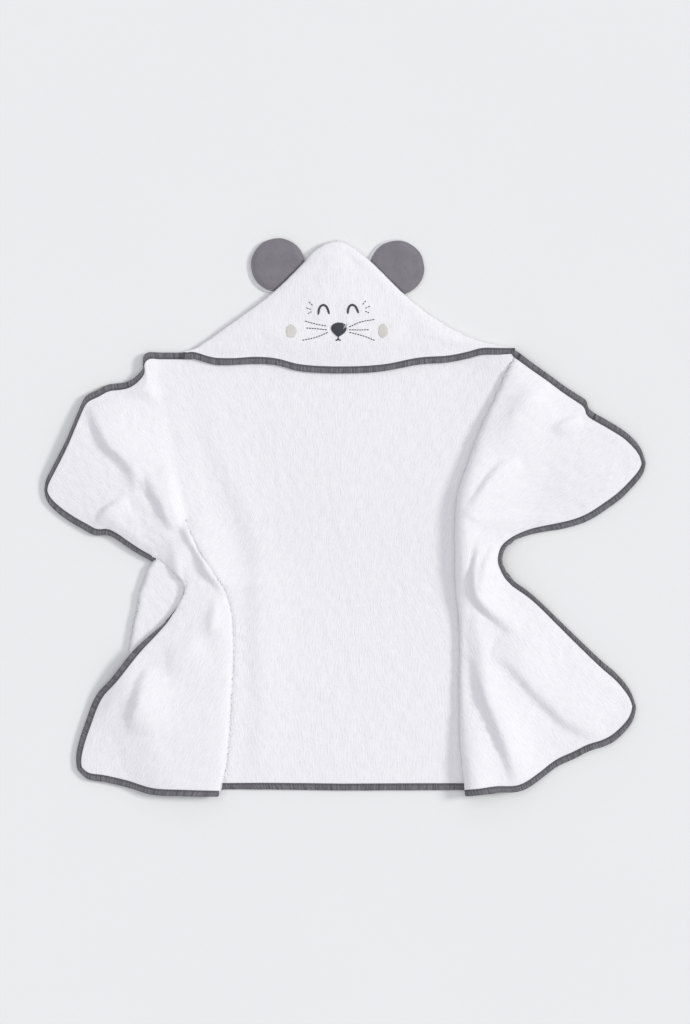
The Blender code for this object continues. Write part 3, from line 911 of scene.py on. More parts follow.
# %% The folded tape
TAPE_HALF = 0.0023           # from the cloth's middle to the tape's outer face
TAPE_OUTER = (-0.0001, 0.0, 0.0001, -0.0001, -0.0004, -0.0001, -0.0005)    # dips at each depth
TAPE_INNER = 0.00162         # from the cloth's middle to the tape's inner face
TAPE_NOSE = 0.0010           # how far the fold stands out past the cloth's edge
NOSE_HALF = 0.00135


def gathers(run, seed, pitch=150.0):
    """How much the tape puckers at each distance along it."""
    return np.array([noise.noise(Vector((distance * pitch, seed, 0.0)))
                     + 0.6 * noise.noise(Vector((distance * pitch * 2.2, seed, 3.0)))
                     for distance in run])


def fold_tape(name, places, ups, run, seed):
    """One closed tape over an edge, from what the cloth says at each depth."""
    pucker = gathers(run, seed)
    slow = gathers(run, seed + 9.0, 34.0)
    outward = unit(places[0] - places[1])
    rows = []

    def add(depth, height):
        rows.append(places[depth] + ups[depth] * np.reshape(height, (-1, 1)))

    swell = np.exp(-((TAPE_DEPTHS - 0.0036) / 0.0028) ** 2)
    last = len(TAPE_DEPTHS) - 1
    for depth in range(last, -1, -1):
        add(depth, TAPE_HALF + TAPE_OUTER[depth] + 0.00040 * swell[depth] * pucker)
    nose = (TAPE_NOSE + 0.00035 * slow)[:, None]
    rows.append(places[0] + outward * nose * 0.75 + ups[0] * NOSE_HALF)
    rows.append(places[0] + outward * nose)
    rows.append(places[0] + outward * nose * 0.75 - ups[0] * NOSE_HALF)
    for depth in range(last + 1):
        add(depth, -(TAPE_HALF + TAPE_OUTER[depth]) - 0.00030 * swell[depth] * pucker)
    for depth in (last, 2, 0):
        add(depth, -TAPE_INNER)
    rows.append(places[0] + outward * 0.0002)
    for depth in (0, 2, last):
        add(depth, TAPE_INNER)
    rings = np.array(rows).transpose(1, 0, 2)
    return closed_strip(name, rings, run)


def closed_strip(name, rings, run):
    """A closed tube of rings with capped ends, as a smooth mesh with flat coordinates."""
    total, count = rings.shape[:2]
    faces = [(r * count + c, r * count + (c + 1) % count, (r + 1) * count + (c + 1) % count,
              (r + 1) * count + c) for r in range(total - 1) for c in range(count)]
    faces += [tuple(range(count))[::-1], tuple(range((total - 1) * count, total * count))]
    mesh = bpy.data.meshes.new(name)
    mesh.from_pydata(rings.reshape(-1, 3).tolist(), [], faces)
    item = new_object(name, mesh)
    around = distances(rings[total // 2])
    lay_flat(item, np.column_stack([np.repeat(run, count), np.tile(around, total)]))
    outward_faces(item)
    mesh.materials.append(TAPE)
    return item


def outward_faces(item):
    """Turn all faces of a closed piece to its outside."""
    work = bmesh.new()
    work.from_mesh(item.data)
    bmesh.ops.recalc_face_normals(work, faces=work.faces)
    work.to_mesh(item.data)
    work.free()
    item.data.update()


# %% [markdown]
# ## Stitches
#
# A stitch is one short bulge of thread. We model it once, as a small sphere of few faces, and
# lay copies of it along each row of sewing, each drawn out to the stitch's length.

# %% One stitch, and rows of it
PATTERN_STEP = 0.0037                    # between the patterns of one stitch and the next
STITCH_LENGTH = 0.0027
STITCH_PITCH = 0.0036
STITCH_RADIUS = 0.00042
GROOVE = len(TAPE_DEPTHS) - 3            # the tape's depth that its stitches pull down


def one_stitch():
    """The points and faces of a stitch two units long along X and two across."""
    bpy.ops.object.select_all(action="DESELECT")
    bpy.ops.mesh.primitive_uv_sphere_add(segments=6, ring_count=4, radius=1.0,
                                         rotation=(0.0, math.pi / 2, 0.0))
    bpy.ops.object.transform_apply(location=False, rotation=True, scale=False)
    item = bpy.context.object
    shape = [np.array(vertex.co) for vertex in item.data.vertices]
    faces = [tuple(polygon.vertices) for polygon in item.data.polygons]
    bpy.data.objects.remove(item, do_unlink=True)
    return np.array(shape), faces


STITCH_POINTS, STITCH_FACES = one_stitch()
print("a stitch has", len(STITCH_FACES), "faces")


def stitch_row(name, starts, ends, ups, radius, material):
    """Copies of the stitch, each lying from a start to an end, as one piece."""
    starts, ends, ups = np.array(starts), np.array(ends), np.array(ups)
    half = (ends - starts) / 2
    side = unit(np.cross(half, ups))
    lift = unit(np.cross(side, half))
    x, y, z = STITCH_POINTS.T
    verts = ((starts + half)[:, None] + half[:, None] * x[None, :, None]
             + side[:, None] * radius * y[None, :, None]
             + lift[:, None] * radius * z[None, :, None])
    count = len(STITCH_POINTS)
    faces = [tuple(corner + index * count for corner in face)
             for index in range(len(starts)) for face in STITCH_FACES]
    mesh = bpy.data.meshes.new(name)
    mesh.from_pydata(verts.reshape(-1, 3).tolist(), [], faces)
    item = new_object(name, mesh)
    turn = np.arctan2(z, y) * radius
    reach = x * float(np.linalg.norm(half[0]))
    total = len(starts)
    lay_flat(item, np.column_stack([
        np.tile(reach, total) + np.repeat(np.arange(total), count) * PATTERN_STEP,
        np.tile(turn, total)]))
    outward_faces(item)
    mesh.materials.append(material)
    return item


def topstitch(name, places, ups, run):
    """The machine stitching that holds a tape, on both of its faces."""
    starts, ends, directions = [], [], []
    for face in (1.0, -1.0):
        line = places[GROOVE] + ups[GROOVE] * face * (TAPE_HALF - 0.00020)
        begin = np.arange(0.002, run[-1] - 0.005, STITCH_PITCH)
        starts.append(picked(begin, run, line))
        ends.append(picked(begin + STITCH_LENGTH, run, line))
        directions.append(picked(begin, run, ups[GROOVE]) * face)
    return stitch_row(name, np.concatenate(starts), np.concatenate(ends),
                      np.concatenate(directions), STITCH_RADIUS, THREAD)


# %% The tape round the hem
HEM_FROM_X, HEM_TO_X = -0.206, 0.222


def hem_path(grid):
    """Corners of the hem in rows and columns, from the hood's left end to its right end."""
    rows, columns = grid.shape[0] - 1, grid.shape[1] - 1
    top = grid[rows, :, 0]
    middle = columns // 2
    first = middle - int(np.argmax(top[middle::-1] < HEM_FROM_X))
    last = middle + int(np.argmax(top[middle:] > HEM_TO_X))
    return [(rows, first), (rows, 0), (0, 0), (0, columns), (rows, columns), (rows, last)]


hem_places, hem_ups, hem_run = along_edge(settled, hem_path(settled), THREAD_STEP)
hem_tape = fold_tape("hem_tape", hem_places, hem_ups, hem_run, 1.0)
hem_stitches = topstitch("hem_stitches", hem_places, hem_ups, hem_run)
print("hem tape is", round(float(hem_run[-1]), 3), "m long, with", len(hem_tape.data.polygons),
      "faces and", len(hem_stitches.data.polygons) // len(STITCH_FACES), "stitches")

# %% [markdown]
# ## The hood
#
# The hood is two triangles of terry sewn together along their outer sides and turned right side
# out, so the seam is a soft rounded edge with no tape. The back layer is sewn to the panel along
# the neck. The front layer stands a little off the back, and sags at its lower edge, the face
# opening, which is bound with the same tape and rests on the panel.

# %% Lines of the hood
NECK = [(-0.219, 0.599), (0.229, 0.603)]         # where the hood's back is sewn to the panel
HOOD_SEAM = [(-0.2190, 0.6000), (-0.199, 0.606), (-0.155, 0.637), (-0.096, 0.681),
             (-0.054, 0.722), (-0.042, 0.736), (-0.023, 0.748), (-0.009, 0.750), (0.004, 0.745),
             (0.032, 0.724), (0.077, 0.680), (0.115, 0.649), (0.174, 0.617), (0.2300, 0.604)]
FACE_EDGE = [(-0.2190, 0.5918), (-0.203, 0.5922), (-0.192, 0.5888), (-0.177, 0.5848),
             (-0.155, 0.5838), (-0.118, 0.5858), (-0.093, 0.5838), (-0.061, 0.5758),
             (-0.004, 0.5728), (0.053, 0.5758), (0.100, 0.5848), (0.142, 0.5878),
             (0.167, 0.5930), (0.183, 0.5975), (0.206, 0.5976), (0.2300, 0.5974)]
HOOD_BASE = 0.0058           # height of the front layer's middle at the seam
HOOD_RISE = 0.0072           # how far it stands above that inside
MOUTH_HEIGHT = 0.0074        # and where it lies at the face opening
SEAM_ROUND = 0.013           # width of the rounded edge along the seam
HOOD_COLUMNS, HOOD_ROWS = 150, 46
seam_line = drawn(HOOD_SEAM, 300)
face_line = drawn(FACE_EDGE, 300)
hood_x = np.linspace(-0.2188, 0.2298, HOOD_COLUMNS)
WRINKLES = [([(-0.205, 0.606), (-0.165, 0.606), (-0.125, 0.600)], 0.007, 0.0012),
            ([(-0.185, 0.598), (-0.150, 0.597), (-0.110, 0.603)], 0.005, -0.0010),
            ([(-0.002, 0.736), (0.012, 0.722), (0.026, 0.706)], 0.006, -0.0016),
            ([(0.180, 0.609), (0.140, 0.621), (0.100, 0.640)], 0.010, 0.0016),
            ([(0.205, 0.603), (0.160, 0.604), (0.120, 0.612)], 0.007, -0.0012),
            ([(-0.060, 0.700), (-0.030, 0.690), (0.010, 0.694)], 0.012, -0.0010),
            ([(-0.120, 0.640), (-0.095, 0.625), (-0.080, 0.606)], 0.012, 0.0010),
            ([(0.075, 0.655), (0.085, 0.630), (0.080, 0.605)], 0.012, -0.0010)]


print(len(WRINKLES), "wrinkles in the hood")


# %% The height of the hood
def height_at(line, x):
    """The y of a line at each x."""
    order = np.argsort(line[:, 0])
    return np.interp(x, line[order, 0], line[order, 1])


def distance_to(line, x, y):
    """The distance in plan from each place to the nearest point of a line."""
    return np.hypot(x[..., None] - line[:, 0], y[..., None] - line[:, 1]).min(-1)


def hood_height(x, y):
    """The middle of the front layer: round at the seam, sagging towards the face opening."""
    to_seam, to_face = distance_to(seam_line, x, y), distance_to(face_line, x, y)
    rise = np.sqrt(np.clip(1.0 - (1.0 - np.clip(to_seam / SEAM_ROUND, 0, 1)) ** 2, 0, 1))
    crown = HOOD_BASE + HOOD_RISE * (0.55 * rise + 0.45 * ease(to_seam / 0.060))
    wave = np.array([noise.fractal(Vector((a * 13.0, b * 13.0, 2.0)), 0.9, 2.0, 3)
                     for a, b in zip(x.ravel(), y.ravel())]).reshape(x.shape) * 0.0013
    for points, half_width, height in WRINKLES:
        fold = drawn(points, 24)
        away = np.hypot(x[..., None] - fold[:, 0], y[..., None] - fold[:, 1])
        fade = np.sin(np.pi * (away.argmin(-1) + 1.0) / 25.0)
        wave = wave + height * fade * np.exp(-(away.min(-1) / half_width) ** 2)
    crown = crown + wave * ease(to_seam / 0.022)
    sag = ease((to_face - 0.002) / 0.042)
    mouth = np.minimum(crown, MOUTH_HEIGHT) + wave * 0.5 * ease(to_seam / 0.022)
    return np.maximum(mouth * (1.0 - sag) + crown * sag, HOOD_BASE - 0.0002)


# %% The hood's front
def hood_rows(low_y):
    """Plan positions from a lower line up to the seam, in rows and columns."""
    share = np.linspace(0.0, 1.0, HOOD_ROWS)[:, None]
    high = height_at(seam_line, hood_x)[None]
    return np.repeat(hood_x[None], HOOD_ROWS, 0), low_y[None] + (high - low_y[None]) * share


def hood_sheet(name, x, y, z, pile):
    """One layer of the hood as a closed, slightly uneven sheet."""
    rows = np.stack([x, y, z], -1)
    item = sheet_from(name, rows, hood_x, y[:, HOOD_COLUMNS // 2])
    lay_flat(item, rows.reshape(-1, 3)[:, :2])
    rough_up(item, pile)
    thicken(item, CLOTH)
    item.data.materials.append(TERRY)
    return item


front_x, front_y = hood_rows(height_at(face_line, hood_x))
hood_front = hood_sheet("hood_front_terry", front_x, front_y, hood_height(front_x, front_y),
                        PILE * 0.7)

# %% The hood's back
NECK_SEAM = -0.0012          # how far past the neck line the back layer reaches
BACK_ROUND = 0.009
neck_y = np.interp(hood_x, [NECK[0][0], NECK[1][0]], [NECK[0][1], NECK[1][1]])
neck_y = np.minimum(neck_y + NECK_SEAM, height_at(seam_line, hood_x) - 0.0015)
back_x, back_y = hood_rows(neck_y)
inset = 1.0 - np.clip(distance_to(seam_line, back_x, back_y) / BACK_ROUND, 0, 1)
back_z = REST + (HOOD_BASE - REST - 0.0002) * (1.0 - np.sqrt(1.0 - inset**2))
hood_back = hood_sheet("hood_back_terry", back_x, back_y, back_z, PILE * 0.4)
print("hood layers have", len(hood_front.data.polygons), len(hood_back.data.polygons), "faces")

# %% The tape round the face opening
BORDER_STEP = 0.0030
BORDER_ROWS = 9
border_y = height_at(face_line, hood_x)[None] + BORDER_STEP * np.arange(BORDER_ROWS)[:, None]
border_x = np.repeat(hood_x[None], BORDER_ROWS, 0)
border = np.stack([border_x, border_y + HEM_Y, hood_height(border_x, border_y)], -1)
border[:, :, 2] = softened(border[:, :, 2].T, 2.0).T
face_places, face_ups, face_run = along_edge(border, [(0, 0), (0, HOOD_COLUMNS - 1)], BORDER_STEP)
face_tape = fold_tape("face_tape", face_places, face_ups, face_run, 5.0)
face_stitches = topstitch("face_stitches", face_places, face_ups, face_run)
print("face tape is", round(float(face_run[-1]), 3), "m long")

# %% [markdown]
# ## The ears
#
# Each ear is two rounds of plain cotton, grey in front and paler behind, sewn together, turned
# and caught in the hood's seam. The sewn edge rolls slightly, so the paler lining shows as a
# thin rim on one side.

# %% Ears
# The ear's grey gets painted shade near its root, where the hood's rounded seam shades it.
EAR_GREY = woven_finish("ear_grey", (0.182, 0.173, 0.188), (0.222, 0.213, 0.230), 0.92, 0.2,
                        seam=0.0045)
EAR_LINING = woven_finish("ear_lining", (0.64, 0.64, 0.66), (0.72, 0.72, 0.74), 0.92, 0.2)
EAR_RINGS, EAR_SPOKES = 14, 90
EAR_TUCK = 0.004             # how far the ear goes into the hood's seam
EAR_CLOTH = 0.0014
EAR_HEIGHTS = (0.0016, 0.0033)
EAR_RIM = 0.0004
# centre, the two ends of the root, radius, and how far the lining peeps out
EARS = {"left": ((-0.0905, 0.7180), (-0.096, 0.681), (-0.054, 0.722), 0.0363, (-0.0026, -0.0018)),
        "right": ((0.0702, 0.7142), (0.032, 0.724), (0.077, 0.680), 0.0367, (-0.0024, 0.0017))}


def ear_frame(side):
    """The ear's centre, the direction along its root and the direction away from the hood."""
    centre, first, second = (np.array(point) for point in EARS[side][:3])
    root = unit(second - first)
    return centre, first, root, np.array([-root[1], root[0]])


def ear_layer(name, side, shift, low, material):
    """A round of cloth, cut off where it goes into the hood's seam, slightly domed."""
    centre, first, root, away = ear_frame(side)
    radius = EARS[side][3]
    centre = centre + np.array(shift)
    depth = float((centre - first) @ away) + EAR_TUCK
    verts = []
    for ring in range(EAR_RINGS + 1):
        share = math.sin(0.5 * math.pi * ring / EAR_RINGS)
        for spoke in range(EAR_SPOKES):
            angle = 2 * math.pi * spoke / EAR_SPOKES
            ray = np.array([math.cos(angle), math.sin(angle)])
            reach = radius + 0.0006 * noise.noise(Vector((*ray * 2.2, radius * 900.0)))
            toward = float(ray @ -away)
            if toward > 1e-6:
                reach = min(reach, depth / toward)
            x, y = centre + ray * reach * share
            dome = 0.0020 * float(ease((1.0 - share) / 0.22))
            ripple = 0.0012 * noise.noise(Vector((x * 34.0, y * 34.0, 4.0)))
            verts.append((x, y + HEM_Y, low + max(dome + ripple, -0.0003)))
    faces = [(ring * EAR_SPOKES + spoke, (ring + 1) * EAR_SPOKES + spoke,
              (ring + 1) * EAR_SPOKES + (spoke + 1) % EAR_SPOKES,
              ring * EAR_SPOKES + (spoke + 1) % EAR_SPOKES)
             for ring in range(EAR_RINGS) for spoke in range(EAR_SPOKES)]
    mesh = bpy.data.meshes.new(name)
    mesh.from_pydata(verts, [], faces)
    item = new_object(name, mesh)
    work = bmesh.new()
    work.from_mesh(mesh)
    bmesh.ops.remove_doubles(work, verts=work.verts, dist=0.00001)
    bmesh.ops.recalc_face_normals(work, faces=work.faces)
    if sum(face.normal.z for face in work.faces) < 0:
        bmesh.ops.reverse_faces(work, faces=work.faces)
    work.to_mesh(mesh)
    work.free()
    thicken(item, EAR_CLOTH)
    soften_rim(item, EAR_RIM)
    from_root = places_of(item)[:, :2] - first - np.array([0.0, HEM_Y])
    lay_flat(item, np.column_stack([from_root @ root, from_root @ away]))
    item.data.materials.append(material)
    return item


def soften_rim(item, width):
    """Round the sharp edges of a piece a little."""
    rim = item.modifiers.new("soft_rim", "BEVEL")
    rim.width = width
    rim.segments = 2
    rim.limit_method = "ANGLE"
    bpy.context.view_layer.objects.active = item
    bpy.ops.object.modifier_apply(modifier="soft_rim")


ears = {}
for side in EARS:
    lining = ear_layer(f"ear_{side}_lining", side, EARS[side][4], EAR_HEIGHTS[0], EAR_LINING)
    face = ear_layer(f"ear_{side}_face", side, (0.0, 0.0), EAR_HEIGHTS[1], EAR_GREY)
    ears[side] = (lining, face)
print("ears have", [len(piece.data.polygons) for pair in ears.values() for piece in pair], "faces")

# %% [markdown]
# ## The embroidered face
#
# The sleepy mouse face is stitched in dark thread. Eyes, nose and mouth are satin stitch, which
# is a low rounded pad of parallel threads; lashes and whiskers are lines of single stitches; the
# cheeks are flat fills in beige. We make each on the flat and then drop its points onto the
# cloth under it, as the needle would.

# %% Thread finishes
SATIN_RELIEF = 0.0004


def satin_finish(name, dark, light):
    """Threads lying side by side across the first flat coordinate."""
    material, shader, flat, _ = cloth_finish(name, 0.62, 0.15)
    rows = flat.noise(1400.0, 1.0, 0.5, (1.0, 0.08, 1.0))
    broken = flat.noise(380.0, 2.0, 0.6)
    height = rows * 0.8 + broken * 0.3
    colour_in(shader, (rows * 0.6 + broken * 0.4).eased(0.3, 0.68).between(dark, light))
    relief(shader, height, SATIN_RELIEF)
    return material


DARK_THREAD = satin_finish("dark_thread", (0.030, 0.031, 0.038), (0.080, 0.081, 0.093))
LIGHT_THREAD = satin_finish("light_thread", (0.55, 0.56, 0.57), (0.70, 0.71, 0.72))
CHEEK_THREAD = satin_finish("cheek_thread", (0.625, 0.600, 0.560), (0.735, 0.712, 0.675))

# %% Dropping a piece onto the hood
SUNK = 0.0008                # how far a pad's underside is down in the cloth
hood_tree = BVHTree.FromPolygons([vertex.co for vertex in hood_front.data.vertices],
                                 [polygon.vertices for polygon in hood_front.data.polygons])


def on_hood(x, y):
    """The height of the hood's front at a place in the table's plan."""
    hit = hood_tree.ray_cast(Vector((x, y, 0.1)), Vector((0.0, 0.0, -1.0)))[0]
    return hit.z


def drop(item):
    """Lift each point of a flat piece by the height of the cloth under it."""
    places = places_of(item)
    places[:, 2] += [on_hood(x, y) for x, y, _ in places]
    item.data.vertices.foreach_set("co", places.ravel())
    item.data.update()


def made_piece(name, material):
    """Name the object that was just modelled, and put its place in its mesh."""
    item = bpy.context.object
    item.name = item.data.name = name
    bpy.ops.object.transform_apply(location=True, rotation=True, scale=True)
    drop(item)
    outward_faces(item)
    item.data.materials.clear()
    item.data.materials.append(material)
    return item


# %% Pads of satin stitch
def pad(name, outline, material, rise):
    """A low pad of stitches: a flat outline, raised and inset into a rounded top."""
    bpy.ops.object.select_all(action="DESELECT")
    bpy.ops.mesh.primitive_circle_add(vertices=len(outline), radius=1.0, fill_type="NGON")
    item = bpy.context.object
    for vertex, (x, y) in zip(item.data.vertices, outline):
        vertex.co = (x, y + HEM_Y, -SUNK)
    bpy.ops.object.mode_set(mode="EDIT")
    bpy.ops.mesh.select_all(action="SELECT")
    bpy.ops.mesh.extrude_region_move(TRANSFORM_OT_translate={"value": (0.0, 0.0,
                                                                       SUNK + 0.45 * rise)})
    for width, lift in ((0.0005, 0.30 * rise), (0.0010, 0.17 * rise), (0.0014, 0.08 * rise)):
        bpy.ops.mesh.inset(thickness=width, depth=lift, use_outset=False)
    bpy.ops.mesh.poke()
    bpy.ops.object.mode_set(mode="OBJECT")
    item = made_piece(name, material)
    lay_flat(item, places_of(item)[:, :2])
    return item


# %% Strokes of satin stitch
BEAD_HEIGHT = 0.8            # of its width


def stroke(name, points, width):
    """A bead of dark satin stitch along a line: a bevelled curve, turned into a mesh."""
    line = drawn(points, 12 * (len(points) - 1))
    bpy.ops.object.select_all(action="DESELECT")
    bpy.ops.curve.primitive_nurbs_path_add()
    item = bpy.context.object
    curve = item.data
    curve.splines.clear()
    spline = curve.splines.new("POLY")
    spline.points.add(len(line) - 1)
    for index, (point, (x, y)) in enumerate(zip(spline.points, line)):
        from_end = min(index, len(line) - 1 - index) / len(line)
        point.co = (x, y + HEM_Y, 0.0, 1.0)
        point.radius = min(1.0, 0.6 + 4.0 * from_end)
    curve.dimensions = "3D"
    curve.bevel_depth = width / 2
    curve.bevel_resolution = 3
    curve.use_fill_caps = True
    bpy.ops.object.convert(target="MESH")
    for vertex in bpy.context.object.data.vertices:
        vertex.co.z = vertex.co.z * BEAD_HEIGHT + 0.0002
    item = made_piece(name, DARK_THREAD)
    thread_coordinates(item, line)
    return item


def thread_coordinates(item, line):
    """Smooth shading, and the distance along and across a stroke as its UV map."""
    places = places_of(item)[:, :2] - np.array([0.0, HEM_Y])
    gap = np.linalg.norm(places[:, None] - line[None], axis=-1)
    flat = lay_flat(item, np.column_stack([distances(line)[gap.argmin(1)], gap.min(1)]))
    item.data.uv_layers.active = flat


# %% Lines of single stitches
LINE_PITCH, LINE_STITCH = 0.0036, 0.0031


def running_line(name, points, width):
    """A line of single dark stitches, with a little cloth between them."""
    path = drawn(points, 60)
    run = distances(path)
    count = max(2, round(run[-1] / LINE_PITCH))
    begin = run[-1] * np.arange(count) / count
    stop = begin + run[-1] / count * LINE_STITCH / LINE_PITCH
    ends = [[(x, y + HEM_Y, on_hood(x, y + HEM_Y) + 0.00015) for x, y in picked(wanted, run, path)]
            for wanted in (begin, stop)]
    return stitch_row(name, *ends, [(0.0, 0.0, 1.0)] * count, width / 2, DARK_THREAD)


# %% Lines of the face
EYES = {"left": [(-0.0359, 0.6506), (-0.0350, 0.6575), (-0.0325, 0.6620), (-0.0290, 0.6636),
                 (-0.0254, 0.6618), (-0.0228, 0.6570), (-0.0213, 0.6514)],
        "right": [(0.0038, 0.6519), (0.0044, 0.6580), (0.0066, 0.6624), (0.0101, 0.6638),
                  (0.0138, 0.6618), (0.0164, 0.6575), (0.0181, 0.6526)]}
LASHES = {"left": [[(-0.0485, 0.6681), (-0.0462, 0.6650), (-0.0428, 0.6629)],
                   [(-0.0520, 0.6602), (-0.0488, 0.6582), (-0.0446, 0.6579)],
                   [(-0.0501, 0.6517), (-0.0470, 0.6536), (-0.0441, 0.6549)]],
          "right": [[(0.0284, 0.6693), (0.0258, 0.6668), (0.0235, 0.6635)],
                    [(0.0338, 0.6624), (0.0303, 0.6603), (0.0265, 0.6588)],
                    [(0.0325, 0.6529), (0.0297, 0.6544), (0.0265, 0.6552)]]}
WHISKERS = {"left": [[(-0.0540, 0.6422), (-0.0400, 0.6380), (-0.0247, 0.6353)],
                     [(-0.0523, 0.6327), (-0.0380, 0.6316), (-0.0239, 0.6299)],
                     [(-0.0575, 0.6161), (-0.0400, 0.6198), (-0.0226, 0.6269)]],
            "right": [[(0.0054, 0.6338), (0.0200, 0.6404), (0.0402, 0.6443)],
                      [(0.0054, 0.6302), (0.0190, 0.6300), (0.0325, 0.6303)],
                      [(0.0058, 0.6267), (0.0240, 0.6222), (0.0407, 0.6156)]]}
NOSE = [(-0.0091, 0.6203), (-0.0050, 0.6228), (-0.0006, 0.6262), (0.0020, 0.6308),
        (0.0018, 0.6350), (-0.0012, 0.6384), (-0.0060, 0.6399), (-0.0115, 0.6397),
        (-0.0160, 0.6375), (-0.0186, 0.6340), (-0.0186, 0.6302), (-0.0160, 0.6262),
        (-0.0125, 0.6228), (-0.0091, 0.6203)]
CHEEKS = {"left": ((-0.0727, 0.6285), (0.0078, 0.0090)),
          "right": ((0.0513, 0.6286), (0.0067, 0.0094))}
print(sum(len(line) for group in (LASHES, WHISKERS) for side in group for line in group[side]),
      "points for lashes and whiskers")

# %% Eyes, lashes and whiskers
EYE_WIDTH, LASH_WIDTH, WHISKER_WIDTH = 0.0029, 0.0013, 0.0015
face_pieces = []                         # each piece, the node it stands for and its slot
for side in ("left", "right"):
    eye = stroke(f"{side}_eye_satin", EYES[side], EYE_WIDTH)
    face_pieces.append((eye, f"eye_{side}", "thread_dark"))
    for number in range(3):
        for kind, lines, width in (("lash", LASHES, LASH_WIDTH),
                                   ("whisker", WHISKERS, WHISKER_WIDTH)):
            line = running_line(f"{side}_{kind}_{number + 1}_thread", lines[side][number], width)
            face_pieces.append((line, f"{kind}_{side}_{number + 1}", "thread_dark"))
print(len(face_pieces), "pieces of eyes, lashes and whiskers")

# %% Nose, mouth and cheeks
NOSE_RISE, GLINT_RISE, CHEEK_RISE = 0.0016, 0.0022, 0.0007
MOUTH_WIDTH, STEM_WIDTH = 0.0018, 0.0016


def oval(centre, radii, ragged=0.0, count=28):
    """An oval outline whose edge may wander in and out by a share of its radius."""
    ring = []
    for step in range(count):
        ray = Vector((math.cos(2 * math.pi * step / count), math.sin(2 * math.pi * step / count)))
        grow = 1.0 + ragged * noise.noise(Vector((ray.x * 2.5, ray.y * 2.5, centre[0] * 60.0)))
        ring.append((centre[0] + radii[0] * grow * ray.x, centre[1] + radii[1] * grow * ray.y))
    return ring


nose = pad("nose_satin", drawn(NOSE, 41)[:-1], DARK_THREAD, NOSE_RISE)
glint = pad("nose_glint_thread", oval((-0.0002, 0.6345), (0.0011, 0.0016), 0.0, 14), LIGHT_THREAD,
            GLINT_RISE)
mouth = stroke("mouth_satin", [(-0.0129, 0.6163), (-0.0108, 0.6163), (-0.0092, 0.6180),
                               (-0.0074, 0.6163), (-0.0051, 0.6163)], MOUTH_WIDTH)
stem = stroke("mouth_stem_satin", [(-0.0091, 0.6212), (-0.0091, 0.6195), (-0.0091, 0.6176)],
              STEM_WIDTH)
face_pieces += [(nose, "nose", "thread_dark"), (glint, "nose_glint", "thread_light"),
                (mouth, "mouth", "thread_dark"), (stem, None, "thread_dark")]
for side, (centre, radii) in CHEEKS.items():
    cheek = pad(f"{side}_cheek_fill", oval(centre, radii, 0.16), CHEEK_THREAD, CHEEK_RISE)
    face_pieces.append((cheek, f"cheek_{side}", "cheek_beige"))
print(len(face_pieces), "embroidered pieces")

# %% [markdown]
# ## Bar tacks
#
# Where two tapes meet or a tape is folded over itself, a few dark stitches packed side by side
# hold them: at both ends of the hood and at the small fold in the right hem.

# %% Bar tacks
TACK_THREADS = 4
TACK_PITCH = 0.0006
TACK_RADIUS = 0.00036


def tack_at(places, ups, run, distance):
    """Starts, ends and ups of a bar of stitches across a tape's upper face."""
    starts, ends, directions = [], [], []
    for number in range(TACK_THREADS):
        wanted = [distance + number * TACK_PITCH]
        picks = [picked(wanted, run, values[depth])[0]
                 for depth in (0, len(TAPE_DEPTHS) - 1) for values in (places, ups)]
        lift = TAPE_HALF + 0.0001
        starts.append(picks[0] + picks[1] * lift)
        ends.append(picks[2] + picks[3] * lift)
        directions.append(picks[1])
    return starts, ends, directions


STEP_PLACE = (0.338, 0.516)              # the small fold in the right hem
step_gap = np.linalg.norm(hem_places[0][:, :2] - np.array(plan(*STEP_PLACE))[:2], axis=1)
tacks = [tack_at(hem_places, hem_ups, hem_run, float(hem_run[step_gap.argmin()])),
         tack_at(hem_places, hem_ups, hem_run, float(hem_run[-1]) - 0.014),
         tack_at(face_places, face_ups, face_run, 0.0015),
         tack_at(face_places, face_ups, face_run, float(face_run[-1]) - 0.0035)]
tape_tacks = stitch_row("tape_tacks", *(np.concatenate([tack[part] for tack in tacks])
                                        for part in range(3)), TACK_RADIUS, THREAD)
print("bar tacks:", len(tacks))

# %% [markdown]
# ## The table
#
# A plain pale table top stands in for whatever the towel lies on.

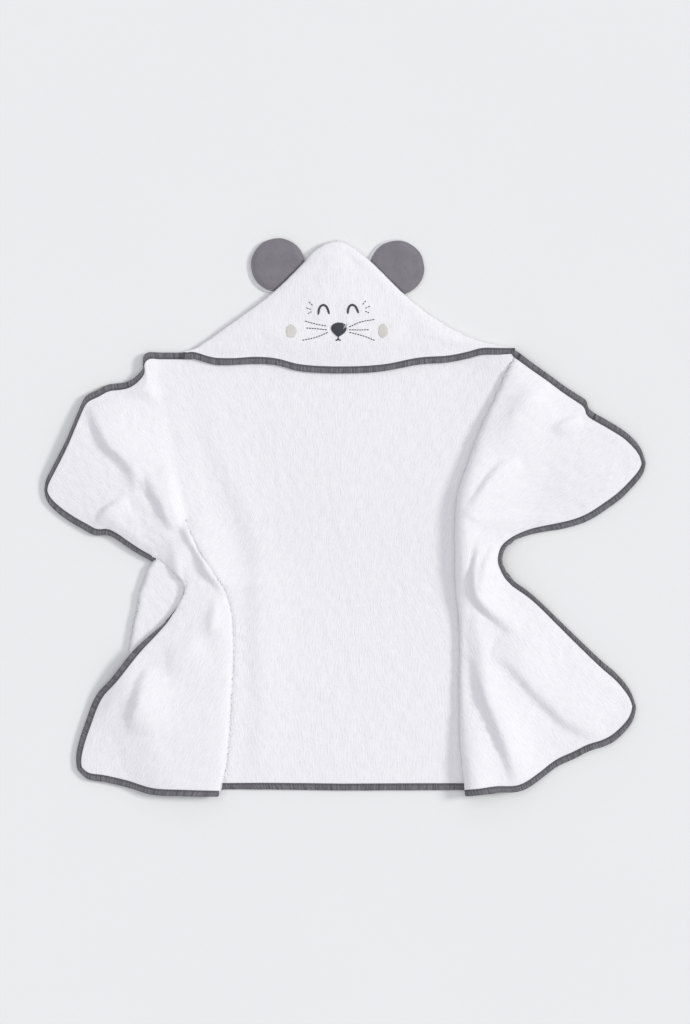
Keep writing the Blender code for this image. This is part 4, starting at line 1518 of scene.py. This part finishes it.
# %% Table
TABLE_TONES = ((0.806, 0.806, 0.805), (0.818, 0.818, 0.817))
TABLE_DROP = 0.0004                      # keeps the table's top just clear of the cloth


def table_finish():
    material = bpy.data.materials.new("table_grey")
    material.use_nodes = True
    tree = material.node_tree
    shader = tree.nodes["Principled BSDF"]
    shader.inputs["Roughness"].default_value = 0.85
    shader.inputs["Specular IOR Level"].default_value = 0.1
    place = tree.nodes.new("ShaderNodeTexCoord")
    spots = Value(tree, place.outputs["Object"]).noise(3.0, 2.0, 0.5)
    colour_in(shader, spots.between(*TABLE_TONES))
    return material


bpy.ops.object.select_all(action="DESELECT")
bpy.ops.mesh.primitive_plane_add(size=8.0, location=(0.0, 0.0, -TABLE_DROP))
table = bpy.context.object
table.name = "table_top"
table.data.materials.append(table_finish())
print("the table is", round(table.dimensions.x, 1), "m wide")

# %% [markdown]
# ## Fastening the hood's pieces to the working model
#
# The hood's own pieces ride on the hood. The panel, its tape and the ears keep their places, and
# the working part that each piece stands for is hidden.

# %% Riding on the hood, and hiding the working parts
NECK_BEND = (plan(0.0, 0.548), plan(0.0, 0.594))
for piece in (panel, hem_tape, hem_stitches, tape_tacks):
    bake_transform(piece)
for piece in (hood_front, hood_back, face_tape, face_stitches):
    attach(piece, "hood")
for piece, node, slot in ((panel, "towel_panel", "terry_white"),
                          (hood_front, "hood_front", "terry_white"),
                          (hood_back, "hood_back", "terry_white"),
                          (hem_tape, "edge_binding", "tape_grey"),
                          (face_tape, "hood_binding", "tape_grey")):
    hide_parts(node)
for piece, node, slot in face_pieces:
    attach(piece, "hood")
    if node:
        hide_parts(node)
print("the hood carries", len(face_pieces) + 4, "pieces")

# %% The ears' roots
for side, (lining, face) in ears.items():
    _, first, _, away = ear_frame(side)
    middle = (first + np.array(EARS[side][2])) / 2
    for piece, node, slot in ((lining, f"ear_{side}_back", "ear_lining"),
                              (face, f"ear_{side}_front", "ear_grey")):
        plan(*(middle - away * 0.003))
        plan(*(middle + away * 0.007))
        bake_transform(piece)
        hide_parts(node)
